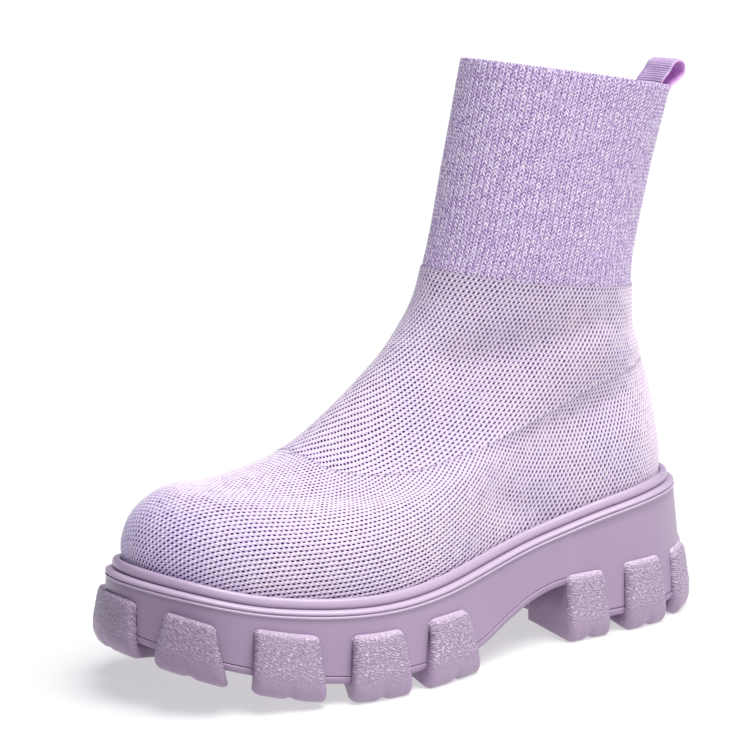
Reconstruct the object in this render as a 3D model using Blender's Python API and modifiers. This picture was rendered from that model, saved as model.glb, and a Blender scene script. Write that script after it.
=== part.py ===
"""A left knit sock boot on a lugged platform sole, built as five separate solids.

The tables are in millimetres and the scene in metres. +Y runs to the heel, +X to the outer
side of the foot and +Z up. A share runs along the sole, from 0 at the heel to 1 at the toe.
"""
import math

import bmesh
import bpy
import numpy as np


def table(columns, *rows):
    """A short table as one array for each named column."""
    return dict(zip(columns.split(), np.array(rows, float).T))


# Driving sizes
MM = 0.001
SOLE_LENGTH = 266.0
TOE_TIP_X = -3.3
TOE_SPRING = 19.0
SPRING_POWER = 1.8
SPRING_START = 0.70
GAP = 0.3
WALL = 2.0
SOLE_STATIONS = 40
UPPER_STATIONS = 29
OUTLINE_SAMPLES = 2400
SHARP_ANGLE = math.radians(40)

# Sole outline at the lower bead: half widths to the outer and the inner side
OUTLINE = table(
    "share outer inner",
    (0.08, 28.8, 27.5),
    (0.20, 36.2, 36.2),
    (0.38, 37.3, 34.0),
    (0.55, 49.8, 39.4),
    (0.70, 54.9, 48.9),
    (0.83, 46.7, 49.5),
    (0.94, 32.4, 36.2),
)

# Height of the lower bead above the floor, heel to toe
RIM = table(
    "share height",
    (0.00, 52.0),
    (0.10, 52.3),
    (0.20, 49.5),
    (0.32, 43.8),
    (0.45, 37.6),
    (0.57, 33.9),
    (0.68, 33.0),
    (0.84, 36.7),
    (1.00, 47.2),
)

# Section through the top of the sole wall: distance out from the outline, height over the lower bead
BEADS = table(
    "out up",
    (-6.1, 2.5),
    (-5.9, 5.0),
    (-5.3, 6.0),
    (-3.7, 6.0),
    (-2.9, 4.9),
    (-3.1, 3.2),
    (-1.2, 2.6),
    (-0.1, 1.5),
    (-0.1, 0.5),
    (-0.7, -0.2),
    (-0.1, -0.9),
)
CUP_FLOOR = 2.5
WALL_FLARE = math.tan(math.radians(4.5))

# Tread plate and the arch behind the forefoot, as heights of the plate's lower face
PLATE_LIFT = 7.0
PLATE_THICK = 2.8
PLATE_SUNK = 1.0
HEEL_BREAST = 54.0
BREAST_SLOPE = 0.15
ARCH = table(
    "y height",
    (-6.0, PLATE_LIFT),
    (2.0, 8.6),
    (21.0, 15.4),
    (35.0, 20.4),
    (45.0, 22.8),
    (56.0, 23.9),
)

# Tread lugs: place along the outline counted in pitches from the tip, half widths, height, inward reach
FORE_PITCH = 35.6
HEEL_PITCH = 29.9
FORE_LUGS = table(
    "step half_top half_bottom height reach inset",
    (0, 14.9, 15.7, 24.4, 20.0, 1.9),
    (1, 8.2, 12.2, 24.4, 22.0, 0.0),
    (2, 12.0, 14.3, 25.7, 26.0, 0.0),
    (3, 10.2, 12.7, 25.9, 27.0, 0.0),
    (4, 10.1, 15.4, 26.9, 24.0, 0.0),
)
HEEL_LUGS = table(
    "step half_top half_bottom height reach inset",
    (0, 8.2, 10.3, 28.4, 14.0, 0.3),
    (1, 8.2, 10.4, 28.4, 15.0, 0.3),
    (2, 8.1, 10.4, 28.4, 18.0, 0.0),
    (3, 8.3, 10.1, 27.4, 20.0, 0.0),
)
LUG_PROFILE = table(
    "rise out",
    (0.00, 4.3),
    (0.09, 6.3),
    (0.30, 6.9),
    (0.86, 5.0),
    (1.00, 3.2),
)
LUG_ACROSS = (-1.0, -0.84, 0.0, 0.84, 1.0)
LUG_CORNER_INSET = 1.7
LUG_ROOT_RISE = 0.29
LUG_ROOT_OUT = -3.0
LUG_TOE_SLANT = 3.0

# Upper: ring sections from the feather edge up to the collar
SECTIONS = table(
    "front_y front_z back_y back_z follow round scale half_back half_front ridge_x droop",
    (-126.5, 50.2, 126.5, 55.0, 1.00, 0.00, 1.00, 30, 30, -3.5, 0.0),
    (-126.2, 60.4, 126.7, 67.4, 0.90, 0.00, 1.01, 30, 30, -3.5, 0.0),
    (-121.1, 70.5, 125.0, 79.4, 0.75, 0.05, 0.985, 31, 34, -4.0, 2.0),
    (-109.7, 77.9, 123.4, 89.4, 0.50, 0.15, 0.90, 31, 34, -4.5, 6.0),
    (-85.4, 79.5, 121.5, 98.4, 0.25, 0.40, 0.78, 32, 30, -5.0, 9.0),
    (-57.0, 85.9, 118.2, 106.4, 0.10, 0.70, 0.70, 33, 27, -5.0, 8.0),
    (-29.7, 101.9, 115.3, 114.4, 0.00, 0.90, 0.62, 34, 25, -4.5, 4.0),
    (-6.3, 121.0, 111.3, 122.4, 0.00, 1.00, 0.60, 34, 27, -3.5, 1.5),
    (7.9, 138.2, 110.7, 132.4, 0.00, 1.00, 0.60, 33, 29, -2.0, 0.0),
    (13.9, 154.3, 110.4, 143.4, 0.00, 1.00, 0.60, 32, 30, -1.0, 0.0),
    (24.2, 195.3, 118.4, 179.4, 0.00, 1.00, 0.60, 32, 31, 0.0, 0.0),
    (34.3, 236.2, 130.9, 219.0, 0.00, 1.00, 0.60, 33, 32, 0.0, 0.0),
)
FEATHER_OUT = -6.5
FEATHER_UP = 3.0
FORE_BLEND = (0.2, 0.75)
FRONT_WEIGHT = 0.6
CUFF_SECTION = 9
CUFF_STEP = 1.5
CUFF_STEP_RISE = 1.6
CUFF_STEP_FADE = 9.0
BODY_RINGS = 20
CUFF_RINGS = 8

# Footbed
INSOLE_SLACK = 0.5
INSOLE_OUT = FEATHER_OUT - WALL - INSOLE_SLACK
INSOLE_THICK = 3.0

# Pull loop: its centre line out from and up past the back of the collar
TAPE_WIDTH = 17.0
TAPE_THICK = 1.2
TAPE_ACROSS = (-1.0, -0.5, 0.0, 0.5, 1.0)
TAPE_TAIL_Z = 153.5
TAPE_TAIL_ROWS = 8
TAIL_SEARCH = 200
COLLAR_REACH = 10.0
LOOP_ROWS = 23
LOOP_FLATTEN = 0.75
LOOP_FLATTEN_UP = (1.5, 6.0)
LOOP = table(
    "out up",
    (1.0, -3.0),
    (2.2, 0.6),
    (4.5, 3.6),
    (6.0, 7.2),
    (5.0, 10.6),
    (2.2, 11.4),
    (-0.5, 9.2),
    (-1.8, 5.2),
    (-3.0, 1.2),
    (-3.3, -3.0),
    (-3.3, -8.0),
    (-3.3, -13.0),
)

# Plain colours and roughness of the pieces
LOOKS = {
    "upper": ((0.62, 0.52, 0.72), 0.85),
    "midsole": ((0.50, 0.40, 0.56), 0.45),
    "outsole": ((0.47, 0.37, 0.53), 0.65),
    "insole": ((0.66, 0.58, 0.74), 0.9),
    "pull_loop": ((0.55, 0.42, 0.68), 0.7),
}


def smooth(knots, rows, at):
    """A smooth curve through the rows, read at the given places."""
    knots = np.asarray(knots, float)
    rows = np.asarray(rows, float).reshape(len(knots), -1)
    at = np.atleast_1d(np.asarray(at, float))
    step = np.diff(knots)[:, None]
    slope = np.diff(rows, axis=0) / step
    tangent = np.empty_like(rows)
    tangent[0] = slope[0]
    tangent[-1] = slope[-1]
    tangent[1:-1] = (step[1:] * slope[:-1] + step[:-1] * slope[1:]) / (step[1:] + step[:-1])
    k = np.clip(np.searchsorted(knots, at, side="right") - 1, 0, len(step) - 1)
    t = (at[:, None] - knots[k][:, None]) / step[k]
    start = (2 * t**3 - 3 * t**2 + 1) * rows[k] + (t**3 - 2 * t**2 + t) * step[k] * tangent[k]
    end = (3 * t**2 - 2 * t**3) * rows[k + 1] + (t**3 - t**2) * step[k] * tangent[k + 1]
    return (start + end).squeeze()


def closed_spline(points, samples):
    """A closed cubic spline through a ring of points."""
    p = np.asarray(points, float)
    count = len(p)
    h = np.linalg.norm(np.roll(p, -1, 0) - p, axis=1) ** 0.5
    knots = np.concatenate([[0.0], np.cumsum(h)])
    matrix = np.zeros((count, count))
    right = np.zeros_like(p)
    for i in range(count):
        before, after = (i - 1) % count, (i + 1) % count
        matrix[i, before] = h[before]
        matrix[i, i] = 2 * (h[before] + h[i])
        matrix[i, after] = h[i]
        right[i] = 6 * ((p[after] - p[i]) / h[i] - (p[i] - p[before]) / h[before])
    bend = np.linalg.solve(matrix, right)
    u = np.linspace(0.0, knots[-1], samples, endpoint=False)
    k = np.clip(np.searchsorted(knots, u, side="right") - 1, 0, count - 1)
    nxt = (k + 1) % count
    hk = h[k][:, None]
    a = (knots[k + 1] - u)[:, None]
    b = (u - knots[k])[:, None]
    cubic = bend[k] * a**3 / (6 * hk) + bend[nxt] * b**3 / (6 * hk)
    return cubic + (p[k] / hk - bend[k] * hk / 6) * a + (p[nxt] / hk - bend[nxt] * hk / 6) * b


class Outline:
    """The sole's outline by arc length, from the toe tip along the outer side and back."""

    def __init__(self):
        y = SOLE_LENGTH / 2 - OUTLINE["share"] * SOLE_LENGTH
        outer = np.column_stack([OUTLINE["outer"], y])
        inner = np.column_stack([-OUTLINE["inner"], y])
        toe = [(TOE_TIP_X, -SOLE_LENGTH / 2)]
        heel = [(0.0, SOLE_LENGTH / 2)]
        ring = closed_spline(np.vstack([toe, outer[::-1], heel, inner]), OUTLINE_SAMPLES)
        ring = np.roll(ring, -ring[:, 1].argmin(), axis=0)
        along = np.roll(ring, -1, 0) - np.roll(ring, 1, 0)
        along /= np.linalg.norm(along, axis=1)[:, None]
        steps = np.linalg.norm(np.diff(np.vstack([ring, ring[:1]]), axis=0), axis=1)
        self.length = steps.sum()
        self.arc = np.concatenate([[0.0], np.cumsum(steps)])
        self.ring = np.vstack([ring, ring[:1]])
        normal = np.column_stack([along[:, 1], -along[:, 0]])
        self.normal = np.vstack([normal, normal[:1]])
        self.heel = self.ring[:, 1].argmax()
        self.heel_arc = self.arc[self.heel]

    def at(self, arc, out):
        """Points at these arc lengths, moved outward."""
        arc = np.asarray(arc, float) % self.length
        point = [np.interp(arc, self.arc, self.ring[:, i]) for i in range(2)]
        normal = [np.interp(arc, self.arc, self.normal[:, i]) for i in range(2)]
        return np.column_stack([point[0] + normal[0] * out, point[1] + normal[1] * out])

    def arcs(self, y):
        """Arc lengths of a ring whose stations lie at these y, toe tip first."""
        outer = np.interp(y[1:-1], self.ring[:self.heel + 1, 1], self.arc[:self.heel + 1])
        inner = np.interp(y[1:-1], self.ring[self.heel:, 1][::-1], self.arc[self.heel:][::-1])
        return np.concatenate([[0.0], outer, [self.heel_arc], inner[::-1]])


SOLE = Outline()


def stations(count, breast=None):
    """Station places from toe to heel, two of them drawn together at a heel breast."""
    y = -SOLE_LENGTH / 2 * np.cos(np.linspace(0.0, math.pi, count + 1))
    if breast is not None:
        k = np.searchsorted(y, breast) - 1
        y[k] = breast - BREAST_SLOPE
        y[k + 1] = breast + BREAST_SLOPE
    return y


def around(y):
    """A value for each point of a ring from the stations' values."""
    return np.concatenate([y, y[-2:0:-1]])


def ground(y):
    """Height of the tread over the floor: flat, then the toe spring."""
    past = (SOLE_LENGTH / 2 - y) / SOLE_LENGTH - SPRING_START
    return TOE_SPRING * (np.maximum(past, 0.0) / (1 - SPRING_START)) ** SPRING_POWER


def rim_height(y):
    """Height of the lower bead."""
    share = np.clip((SOLE_LENGTH / 2 - y) / SOLE_LENGTH, 0.0, 1.0)
    return smooth(RIM["share"], RIM["height"], share)


def plate_height(y, breast):
    """Height of the plate's lower face: tread, then arch, then heel."""
    arch = smooth(ARCH["y"], ARCH["height"], np.clip(y, ARCH["y"][0], ARCH["y"][-1]))
    front = np.where(y < ARCH["y"][0], ground(y) + PLATE_LIFT, arch)
    return np.where(y < breast, front, PLATE_LIFT)


def sole_ring(y, out, height):
    """A ring of the sole at the stations, at a distance out and a height for each point."""
    flat = SOLE.at(SOLE.arcs(y), out)
    return np.column_stack([flat, height])


def ladder(ring):
    """Faces across a ring, from the outer stations to the inner ones."""
    count = len(ring)
    half = count // 2
    faces = [(ring[0], ring[1], ring[-1])]
    faces += [(ring[j], ring[j + 1], ring[count - j - 1], ring[count - j]) for j in range(1, half - 1)]
    faces.append((ring[half - 1], ring[half], ring[half + 1]))
    return faces


def new_object(name, bm, collection):
    """A mesh object from a bmesh, shaded smooth but for its sharp edges."""
    mesh = bpy.data.meshes.new(name)
    bm.to_mesh(mesh)
    bm.free()
    mesh.shade_smooth()
    mesh.set_sharp_from_angle(angle=SHARP_ANGLE)
    obj = bpy.data.objects.new(name, mesh)
    collection.objects.link(obj)
    return obj


def add_rings(bm, rings, wrap):
    """Vertices of the rings in metres, with faces between each ring and the next."""
    rows = [[bm.verts.new(tuple(point * MM)) for point in ring] for ring in rings]
    count = len(rows[0])
    for low, high in zip(rows, rows[1:]):
        for j in range(count if wrap else count - 1):
            k = (j + 1) % count
            bm.faces.new((low[j], low[k], high[k], high[j]))
    return rows


def sole_loft(name, rings, collection):
    """A closed solid through rings, its ends closed across from side to side."""
    bm = bmesh.new()
    rows = add_rings(bm, rings, True)
    for row in (rows[0], rows[-1]):
        for face in ladder(row):
            bm.faces.new(face)
    bmesh.ops.recalc_face_normals(bm, faces=bm.faces)
    return new_object(name, bm, collection)


def midsole_rings(grow):
    """Rings of the platform wall from the cup's floor over the beads down to the underside."""
    y = stations(SOLE_STATIONS)
    rim = around(rim_height(y))
    rings = [sole_ring(y, out + grow, rim + up) for out, up in zip(BEADS["out"], BEADS["up"])]
    breast = HEEL_BREAST - grow
    low_y = stations(SOLE_STATIONS, breast)
    low = around(plate_height(low_y, breast) + PLATE_THICK + GAP - grow)
    flare = WALL_FLARE * (around(rim_height(low_y)) - low)
    rings.append(sole_ring(low_y, flare + grow, low))
    return rings


def plate_rings():
    """Rings of the tread plate: its lower face, and an upper face sunk past the platform's underside."""
    breast = HEEL_BREAST - GAP - PLATE_THICK
    rings = []
    for edge, lift in ((breast, 0.0), (HEEL_BREAST + PLATE_SUNK, PLATE_THICK + PLATE_SUNK)):
        y = stations(SOLE_STATIONS, edge)
        height = around(plate_height(y, edge) + lift)
        flare = WALL_FLARE * (around(rim_height(y)) - height)
        rings.append(sole_ring(y, flare, height))
    return rings


def lug_section(centre, across, half_top, half_bottom, height, reach, inset):
    """One section through a lug, across the outline."""
    out = LUG_PROFILE["out"] - inset - (LUG_CORNER_INSET if abs(across) == 1.0 else 0.0)
    rise = np.concatenate([LUG_PROFILE["rise"], [1.0, LUG_ROOT_RISE, LUG_ROOT_RISE, 0.0]])
    out = np.concatenate([out, [LUG_ROOT_OUT, LUG_ROOT_OUT, -reach, LUG_TOE_SLANT - reach]])
    half = half_bottom + (half_top - half_bottom) * rise
    flat = SOLE.at(centre + across * half, out)
    return np.column_stack([flat, ground(flat[:, 1]) + rise * height])


def lug_places():
    """Centre of each lug along the outline, with its row of sizes."""
    inner_share = (SOLE.length - SOLE.heel_arc) / SOLE.heel_arc
    for rows, pitch, from_heel in ((FORE_LUGS, FORE_PITCH, False), (HEEL_LUGS, HEEL_PITCH, True)):
        for step, *sizes in zip(*rows.values()):
            arc = SOLE.heel_arc - step * pitch if from_heel else step * pitch
            yield arc, sizes
            if step:
                yield -arc * inner_share, sizes


def make_lugs(collection):
    """All the tread lugs as closed blocks in one object."""
    bm = bmesh.new()
    for centre, sizes in lug_places():
        rows = add_rings(bm, [lug_section(centre, across, *sizes) for across in LUG_ACROSS], True)
        bm.faces.new(rows[0])
        bm.faces.new(rows[-1])
    bmesh.ops.recalc_face_normals(bm, faces=bm.faces)
    return new_object("lug_blocks", bm, collection)


def add_boolean(obj, operation, tool):
    """Join a helper to a piece or cut it out, and hide the helper."""
    modifier = obj.modifiers.new(operation.lower(), "BOOLEAN")
    modifier.operation = operation
    modifier.object = tool
    tool.hide_render = True
    tool.display_type = "WIRE"


def make_outsole(collection, helpers):
    """The tread plate with its lugs, cut back to the platform's walls."""
    outsole = sole_loft("outsole", plate_rings(), collection)
    add_boolean(outsole, "UNION", make_lugs(helpers))
    add_boolean(outsole, "DIFFERENCE", sole_loft("platform_space", midsole_rings(GAP), helpers))
    return outsole


def make_insole(collection):
    """The footbed board inside the upper's feather edge."""
    y = stations(UPPER_STATIONS)
    floor = around(rim_height(y)) + CUP_FLOOR + GAP
    rings = [sole_ring(y, INSOLE_OUT, floor + up) for up in (0.0, INSOLE_THICK)]
    return sole_loft("insole", rings, collection)


class Last:
    """The upper's outer surface: rings that turn from the sole's outline into the leg's egg shape."""

    def __init__(self):
        fronts = np.hypot(np.diff(SECTIONS["front_y"]), np.diff(SECTIONS["front_z"]))
        backs = np.hypot(np.diff(SECTIONS["back_y"]), np.diff(SECTIONS["back_z"]))
        steps = FRONT_WEIGHT * fronts + (1 - FRONT_WEIGHT) * backs
        self.places = np.concatenate([[0.0], np.cumsum(steps)])
        self.rows = np.column_stack(list(SECTIONS.values()))
        self.cuff = self.places[CUFF_SECTION]
        y = stations(UPPER_STATIONS)
        self.base = sole_ring(y, FEATHER_OUT, around(rim_height(y)) + FEATHER_UP)
        back, front = self.base[UPPER_STATIONS], self.base[0]
        self.forward = (back[1] - self.base[:, 1]) / (back[1] - front[1])
        self.sag = self.base[:, 2] - (back[2] + (front[2] - back[2]) * self.forward)
        self.side = np.where(np.arange(len(y) * 2 - 2) < UPPER_STATIONS, 1.0, -1.0)

    def section(self, place):
        """The table's columns at a place between the feather edge and the collar."""
        return dict(zip(SECTIONS, smooth(self.places, self.rows, place)))

    def cuff_shift(self, place):
        """How far the wall stands out below the cuff's edge and in above it."""
        past = place - self.cuff
        lean = math.exp(-abs(past) / CUFF_STEP_FADE) * CUFF_STEP / 2
        return -lean if past > 0 else lean

    def ring(self, place):
        """The ring of points at a place."""
        s = self.section(place)
        f = self.forward
        blend = np.clip((f - FORE_BLEND[0]) / (FORE_BLEND[1] - FORE_BLEND[0]), 0.0, 1.0)
        blend = blend * blend * (3 - 2 * blend)
        swell = 2 * np.sqrt(np.clip(f * (1 - f), 0.0, None))
        half = s["half_back"] + (s["half_front"] - s["half_back"]) * blend
        egg = self.side * swell * half + s["ridge_x"] * blend
        x = (1 - s["round"]) * self.base[:, 0] * s["scale"] + s["round"] * egg
        y = s["back_y"] + (s["front_y"] - s["back_y"]) * f
        z = s["back_z"] + (s["front_z"] - s["back_z"]) * f + s["follow"] * self.sag
        z = z - s["droop"] * swell**2 * blend
        ring = np.column_stack([x, y, z])
        spoke = ring - ring.mean(axis=0)
        spoke /= np.linalg.norm(spoke, axis=1)[:, None]
        return ring + spoke * self.cuff_shift(place)

    def back(self, place):
        """The point at the middle of the back."""
        return self.ring(place)[UPPER_STATIONS]


LAST = Last()


def make_upper(collection):
    """The knitted upper: one thin wall, open at the collar and underneath, stepped at the cuff."""
    body = np.linspace(0.0, LAST.cuff, BODY_RINGS)
    cuff = np.linspace(LAST.cuff + CUFF_STEP_RISE, LAST.places[-1], CUFF_RINGS)
    bm = bmesh.new()
    add_rings(bm, [LAST.ring(place) for place in np.concatenate([body, cuff])], True)
    upper = new_object("upper", bm, collection)
    wall = upper.modifiers.new("wall", "SOLIDIFY")
    wall.thickness = WALL * MM
    wall.offset = -1.0
    wall.use_even_offset = True
    return upper


def tape_path():
    """The tape's centre line and flatness from the tail up the cuff, round the loop and into the collar."""
    collar = LAST.places[-1]
    spans = np.linspace(LAST.cuff, collar, TAIL_SEARCH)
    backs = np.array([LAST.back(place) for place in spans])
    tail = np.interp(TAPE_TAIL_Z, backs[:, 2], spans)
    top = LAST.back(collar)
    up = top - LAST.back(collar - COLLAR_REACH)
    up /= np.linalg.norm(up)
    outward = np.array([0.0, up[2], -up[1]])
    rows = []
    for place in np.linspace(tail, collar + LOOP["up"][0], TAPE_TAIL_ROWS, endpoint=False):
        rows.append((LAST.back(place) + outward * LOOP["out"][0], 1.0))
    knots = np.arange(len(LOOP["out"]))
    bends = np.column_stack([LOOP["out"], LOOP["up"]])
    for out, rise in smooth(knots, bends, np.linspace(0, knots[-1], LOOP_ROWS)):
        share = (rise - LOOP_FLATTEN_UP[0]) / (LOOP_FLATTEN_UP[1] - LOOP_FLATTEN_UP[0])
        flat = 1.0 - LOOP_FLATTEN * min(max(share, 0.0), 1.0)
        rows.append((top + outward * out + up * rise, flat))
    return rows


def make_pull_loop(collection):
    """Webbing tape, bent across its width where it lies on the cuff."""
    section = LAST.section(LAST.places[-1])
    depth = (section["back_y"] - section["front_y"]) / 2
    half = TAPE_WIDTH / 2
    bow = depth * (1 - math.sqrt(1 - (half / section["half_back"]) ** 2))
    rows = []
    for centre, flat in tape_path():
        row = [centre + np.array([half * a, -bow * flat * a * a, 0.0]) for a in TAPE_ACROSS]
        rows.append(np.array(row))
    bm = bmesh.new()
    add_rings(bm, rows, False)
    loop = new_object("pull_loop", bm, collection)
    tape = loop.modifiers.new("tape", "SOLIDIFY")
    tape.thickness = TAPE_THICK * MM
    tape.offset = 0.0
    return loop


def paint(obj):
    """A plain material in the piece's colour."""
    colour, roughness = LOOKS[obj.name]
    material = bpy.data.materials.new(obj.name)
    material.use_nodes = True
    shader = material.node_tree.nodes["Principled BSDF"]
    shader.inputs["Base Color"].default_value = (*colour, 1.0)
    shader.inputs["Roughness"].default_value = roughness
    shader.inputs["Metallic"].default_value = 0.0
    obj.data.materials.append(material)


def stand_on_origin(pieces, collection):
    """Hang all pieces on an empty that brings the middle of the whole's footprint to the origin."""
    bpy.context.view_layer.update()
    graph = bpy.context.evaluated_depsgraph_get()
    corners = []
    for piece in pieces:
        mesh = piece.evaluated_get(graph).to_mesh()
        points = np.array([vertex.co for vertex in mesh.vertices])
        corners += [points.min(axis=0), points.max(axis=0)]
        piece.evaluated_get(graph).to_mesh_clear()
    low = np.min(corners, axis=0)
    high = np.max(corners, axis=0)
    stand = bpy.data.objects.new("boot_stand", None)
    collection.objects.link(stand)
    stand.location = (-(low[0] + high[0]) / 2, -(low[1] + high[1]) / 2, -low[2])
    return stand


def clear_scene():
    """Take out whatever the scene holds."""
    for obj in list(bpy.data.objects):
        bpy.data.objects.remove(obj, do_unlink=True)


def new_collection(name):
    """A collection linked into the scene."""
    collection = bpy.data.collections.new(name)
    bpy.context.scene.collection.children.link(collection)
    return collection


def main():
    clear_scene()
    boot = new_collection("knit_boot")
    helpers = new_collection("helpers")
    pieces = [
        sole_loft("midsole", midsole_rings(0.0), boot),
        make_outsole(boot, helpers),
        make_upper(boot),
        make_insole(boot),
        make_pull_loop(boot),
    ]
    for piece in pieces:
        paint(piece)
    stand = stand_on_origin(pieces, boot)
    for obj in pieces + list(helpers.objects):
        obj.parent = stand


main()
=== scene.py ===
"""The looks of a left knit sock boot on a lugged platform sole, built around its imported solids.

The tables are in millimetres and the scene in metres. +Y runs to the heel, +X to the outer
side of the foot and +Z up. A way runs round the upper from -1 at the back, along the inner
side to 0 at the toe, and along the outer side to 1 at the back again.
"""
import math

import bmesh
import bpy
import numpy as np
from mathutils import Matrix, Vector, geometry
from mathutils.bvhtree import BVHTree
from mathutils.kdtree import KDTree

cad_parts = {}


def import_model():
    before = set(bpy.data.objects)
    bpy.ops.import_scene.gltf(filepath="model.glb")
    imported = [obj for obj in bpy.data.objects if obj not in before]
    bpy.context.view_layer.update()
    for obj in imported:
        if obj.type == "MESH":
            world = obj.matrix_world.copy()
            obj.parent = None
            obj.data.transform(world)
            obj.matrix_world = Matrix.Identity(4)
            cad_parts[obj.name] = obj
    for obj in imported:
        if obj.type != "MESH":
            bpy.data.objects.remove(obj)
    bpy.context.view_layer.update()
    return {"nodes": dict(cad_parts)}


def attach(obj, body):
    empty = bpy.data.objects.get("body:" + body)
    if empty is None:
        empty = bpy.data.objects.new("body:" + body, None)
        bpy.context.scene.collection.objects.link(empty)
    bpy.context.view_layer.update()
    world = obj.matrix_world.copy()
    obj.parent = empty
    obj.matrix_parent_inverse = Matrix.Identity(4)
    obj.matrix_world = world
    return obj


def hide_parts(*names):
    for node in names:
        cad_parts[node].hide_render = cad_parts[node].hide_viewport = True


def table(columns, *rows):
    """A short table as one array for each named column."""
    return dict(zip(columns.split(), np.array(rows, float).T))


# The boot's own sizes
MM = 0.001
CENTRE = np.array([-2.224, -0.890, 0.0])
SOLE_LENGTH = 266.0
TOE_TIP_X = -3.3
TOE_SPRING = 19.0
SPRING_POWER = 1.8
SPRING_START = 0.70
GAP = 0.3
WALL = 2.0
OUTLINE_SAMPLES = 2400

OUTLINE = table(
    "share outer inner",
    (0.08, 28.8, 27.5),
    (0.20, 36.2, 36.2),
    (0.38, 37.3, 34.0),
    (0.55, 49.8, 39.4),
    (0.70, 54.9, 48.9),
    (0.83, 46.7, 49.5),
    (0.94, 32.4, 36.2),
)
RIM = table(
    "share height",
    (0.00, 52.0),
    (0.10, 52.3),
    (0.20, 49.5),
    (0.32, 43.8),
    (0.45, 37.6),
    (0.57, 33.9),
    (0.68, 33.0),
    (0.84, 36.7),
    (1.00, 47.2),
)

# Platform wall: its rounded beads from the cup's floor outward, then the flared wall; pale is each ring's
# share of the beads' painted light, groove its share of the grooves' painted shade
BEADS = table(
    "out up pale groove",
    (-6.1, 2.5, 0.75, 0.0),
    (-6.1, 4.2, 0.75, 0.0),
    (-5.95, 5.1, 0.75, 0.0),
    (-5.6, 5.7, 0.75, 0.0),
    (-5.1, 6.0, 0.75, 0.0),
    (-4.4, 6.1, 0.75, 0.0),
    (-3.8, 5.9, 0.75, 0.0),
    (-3.3, 5.4, 0.75, 0.0),
    (-3.0, 4.7, 0.75, 0.0),
    (-2.85, 3.9, 0.75, 0.0),
    (-2.9, 3.1, 0.75, 0.2),
    (-3.1, 2.5, 0.75, 0.6),
    (-3.55, 2.05, 0.75, 1.0),
    (-3.35, 1.9, 0.85, 1.0),
    (-2.85, 2.05, 0.85, 0.3),
    (-2.3, 2.1, 0.85, 0.0),
    (-1.5, 2.05, 1.0, 0.0),
    (-0.8, 1.9, 1.0, 0.0),
    (-0.3, 1.55, 1.0, 0.0),
    (-0.08, 1.1, 1.0, 0.0),
    (-0.15, 0.7, 1.0, 0.1),
    (-0.45, 0.4, 1.0, 0.5),
    (-0.80, 0.2, 1.0, 1.0),
    (-0.72, 0.02, 1.0, 0.7),
    (-0.35, -0.06, 1.0, 0.0),
    (-0.02, -0.24, 1.0, 0.0),
    (0.10, -0.55, 1.0, 0.0),
    (-0.02, -0.88, 1.0, 0.3),
    (-0.35, -1.15, 1.0, 1.0),
)
WALL_FLARE = math.tan(math.radians(4.5))
WALL_SHARES = (0.02, *np.linspace(0.1, 0.9, 9), 0.985, 1.0)
# How much painted shade the ring under the fine rib takes
UNDER_RIB_SHADE = 0.6
PLATE_LIFT = 7.0
PLATE_THICK = 2.8
PLATE_EDGE = table(
    "lift out",
    (0.0, -0.7),
    (0.3, -0.15),
    (0.7, 0.10),
    (2.2, 0.30),
    (2.6, 0.20),
    (2.8, -0.10),
)
HEEL_BREAST = 56.5
BREAST_SLOPE = 0.15
SOLE_STATIONS = 150
ARCH = table(
    "y height",
    (-6.0, PLATE_LIFT),
    (2.0, 8.6),
    (21.0, 15.4),
    (35.0, 20.4),
    (45.0, 22.8),
    (56.0, 23.9),
)

# Tread lugs
FORE_PITCH = 35.6
HEEL_PITCH = 29.9
FORE_LUGS = table(
    "step shift half_top half_bottom height reach inset taper",
    (0, -5.6, 16.9, 18.4, 22.4, 20.0, 1.9, 0.6),
    (1, -0.6, 9.6, 13.6, 23.2, 22.0, 0.0, 0.6),
    (2, 0.2, 12.5, 14.3, 25.7, 26.0, 0.0, 0.4),
    (3, 1.2, 10.7, 12.9, 25.9, 27.0, 0.0, 0.4),
    (4, 1.2, 10.3, 15.4, 26.4, 24.0, 0.0, 0.5),
)
HEEL_LUGS = table(
    "step shift half_top half_bottom height reach inset taper",
    (0, 0.0, 8.2, 10.3, 28.4, 14.0, 0.3, 1.0),
    (1, 0.8, 8.6, 10.8, 27.8, 15.0, 0.3, 1.0),
    (2, 1.1, 9.6, 11.3, 28.4, 18.0, 0.0, 1.0),
    (3, 0.9, 9.2, 11.0, 27.4, 26.0, 0.0, 1.0),
)
INNER_SHIFT = 10.0
LUG_FACE = table(
    "rise out",
    (0.00, 3.9),
    (0.03, 5.2),
    (0.09, 6.2),
    (0.30, 6.9),
    (0.60, 6.1),
    (0.82, 5.3),
    (0.92, 4.6),
    (0.97, 3.7),
    (1.00, 2.0),
)
LUG_LEAST = 1.2
LUG_RISES = np.linspace(0, 1, 62)
LUG_COLUMNS = 58
LUG_EDGE = 3.0
LUG_EDGE_ROWS = 6
LUG_CORNER = 0.6
LUG_ROOT_SINK = 1.0
LUG_ROOT_MOST = 0.88
LUG_ROOT_LIP = 0.02
LUG_ROOT_IN = 3.0
LUG_SOLE_SLANT = 2.0
LUG_SOLE_RISE = 0.12
LUG_CLEAR = 0.15
NOTCH_HALF = 1.9
NOTCH_DEEP = 0.75
NOTCH_LIFT = 1.0
NOTCH_RISE = 0.34
GRAIN_WIDTH = 0.80
GRAIN_LENGTH = 2.4
GRAIN_LEAN = math.radians(-28)
GRAIN_DEEP = 0.34
GRAIN_FINE = (1.5, 0.50)
GRAIN_LOW = 0.10
GRAIN_FROM = 0.18
GRAIN_FULL = 0.50
# Rise from which the painted highlight along a lug's top begins
TOP_HIGHLIGHT_FROM = 0.90
LUG_APART = 60.0

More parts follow.
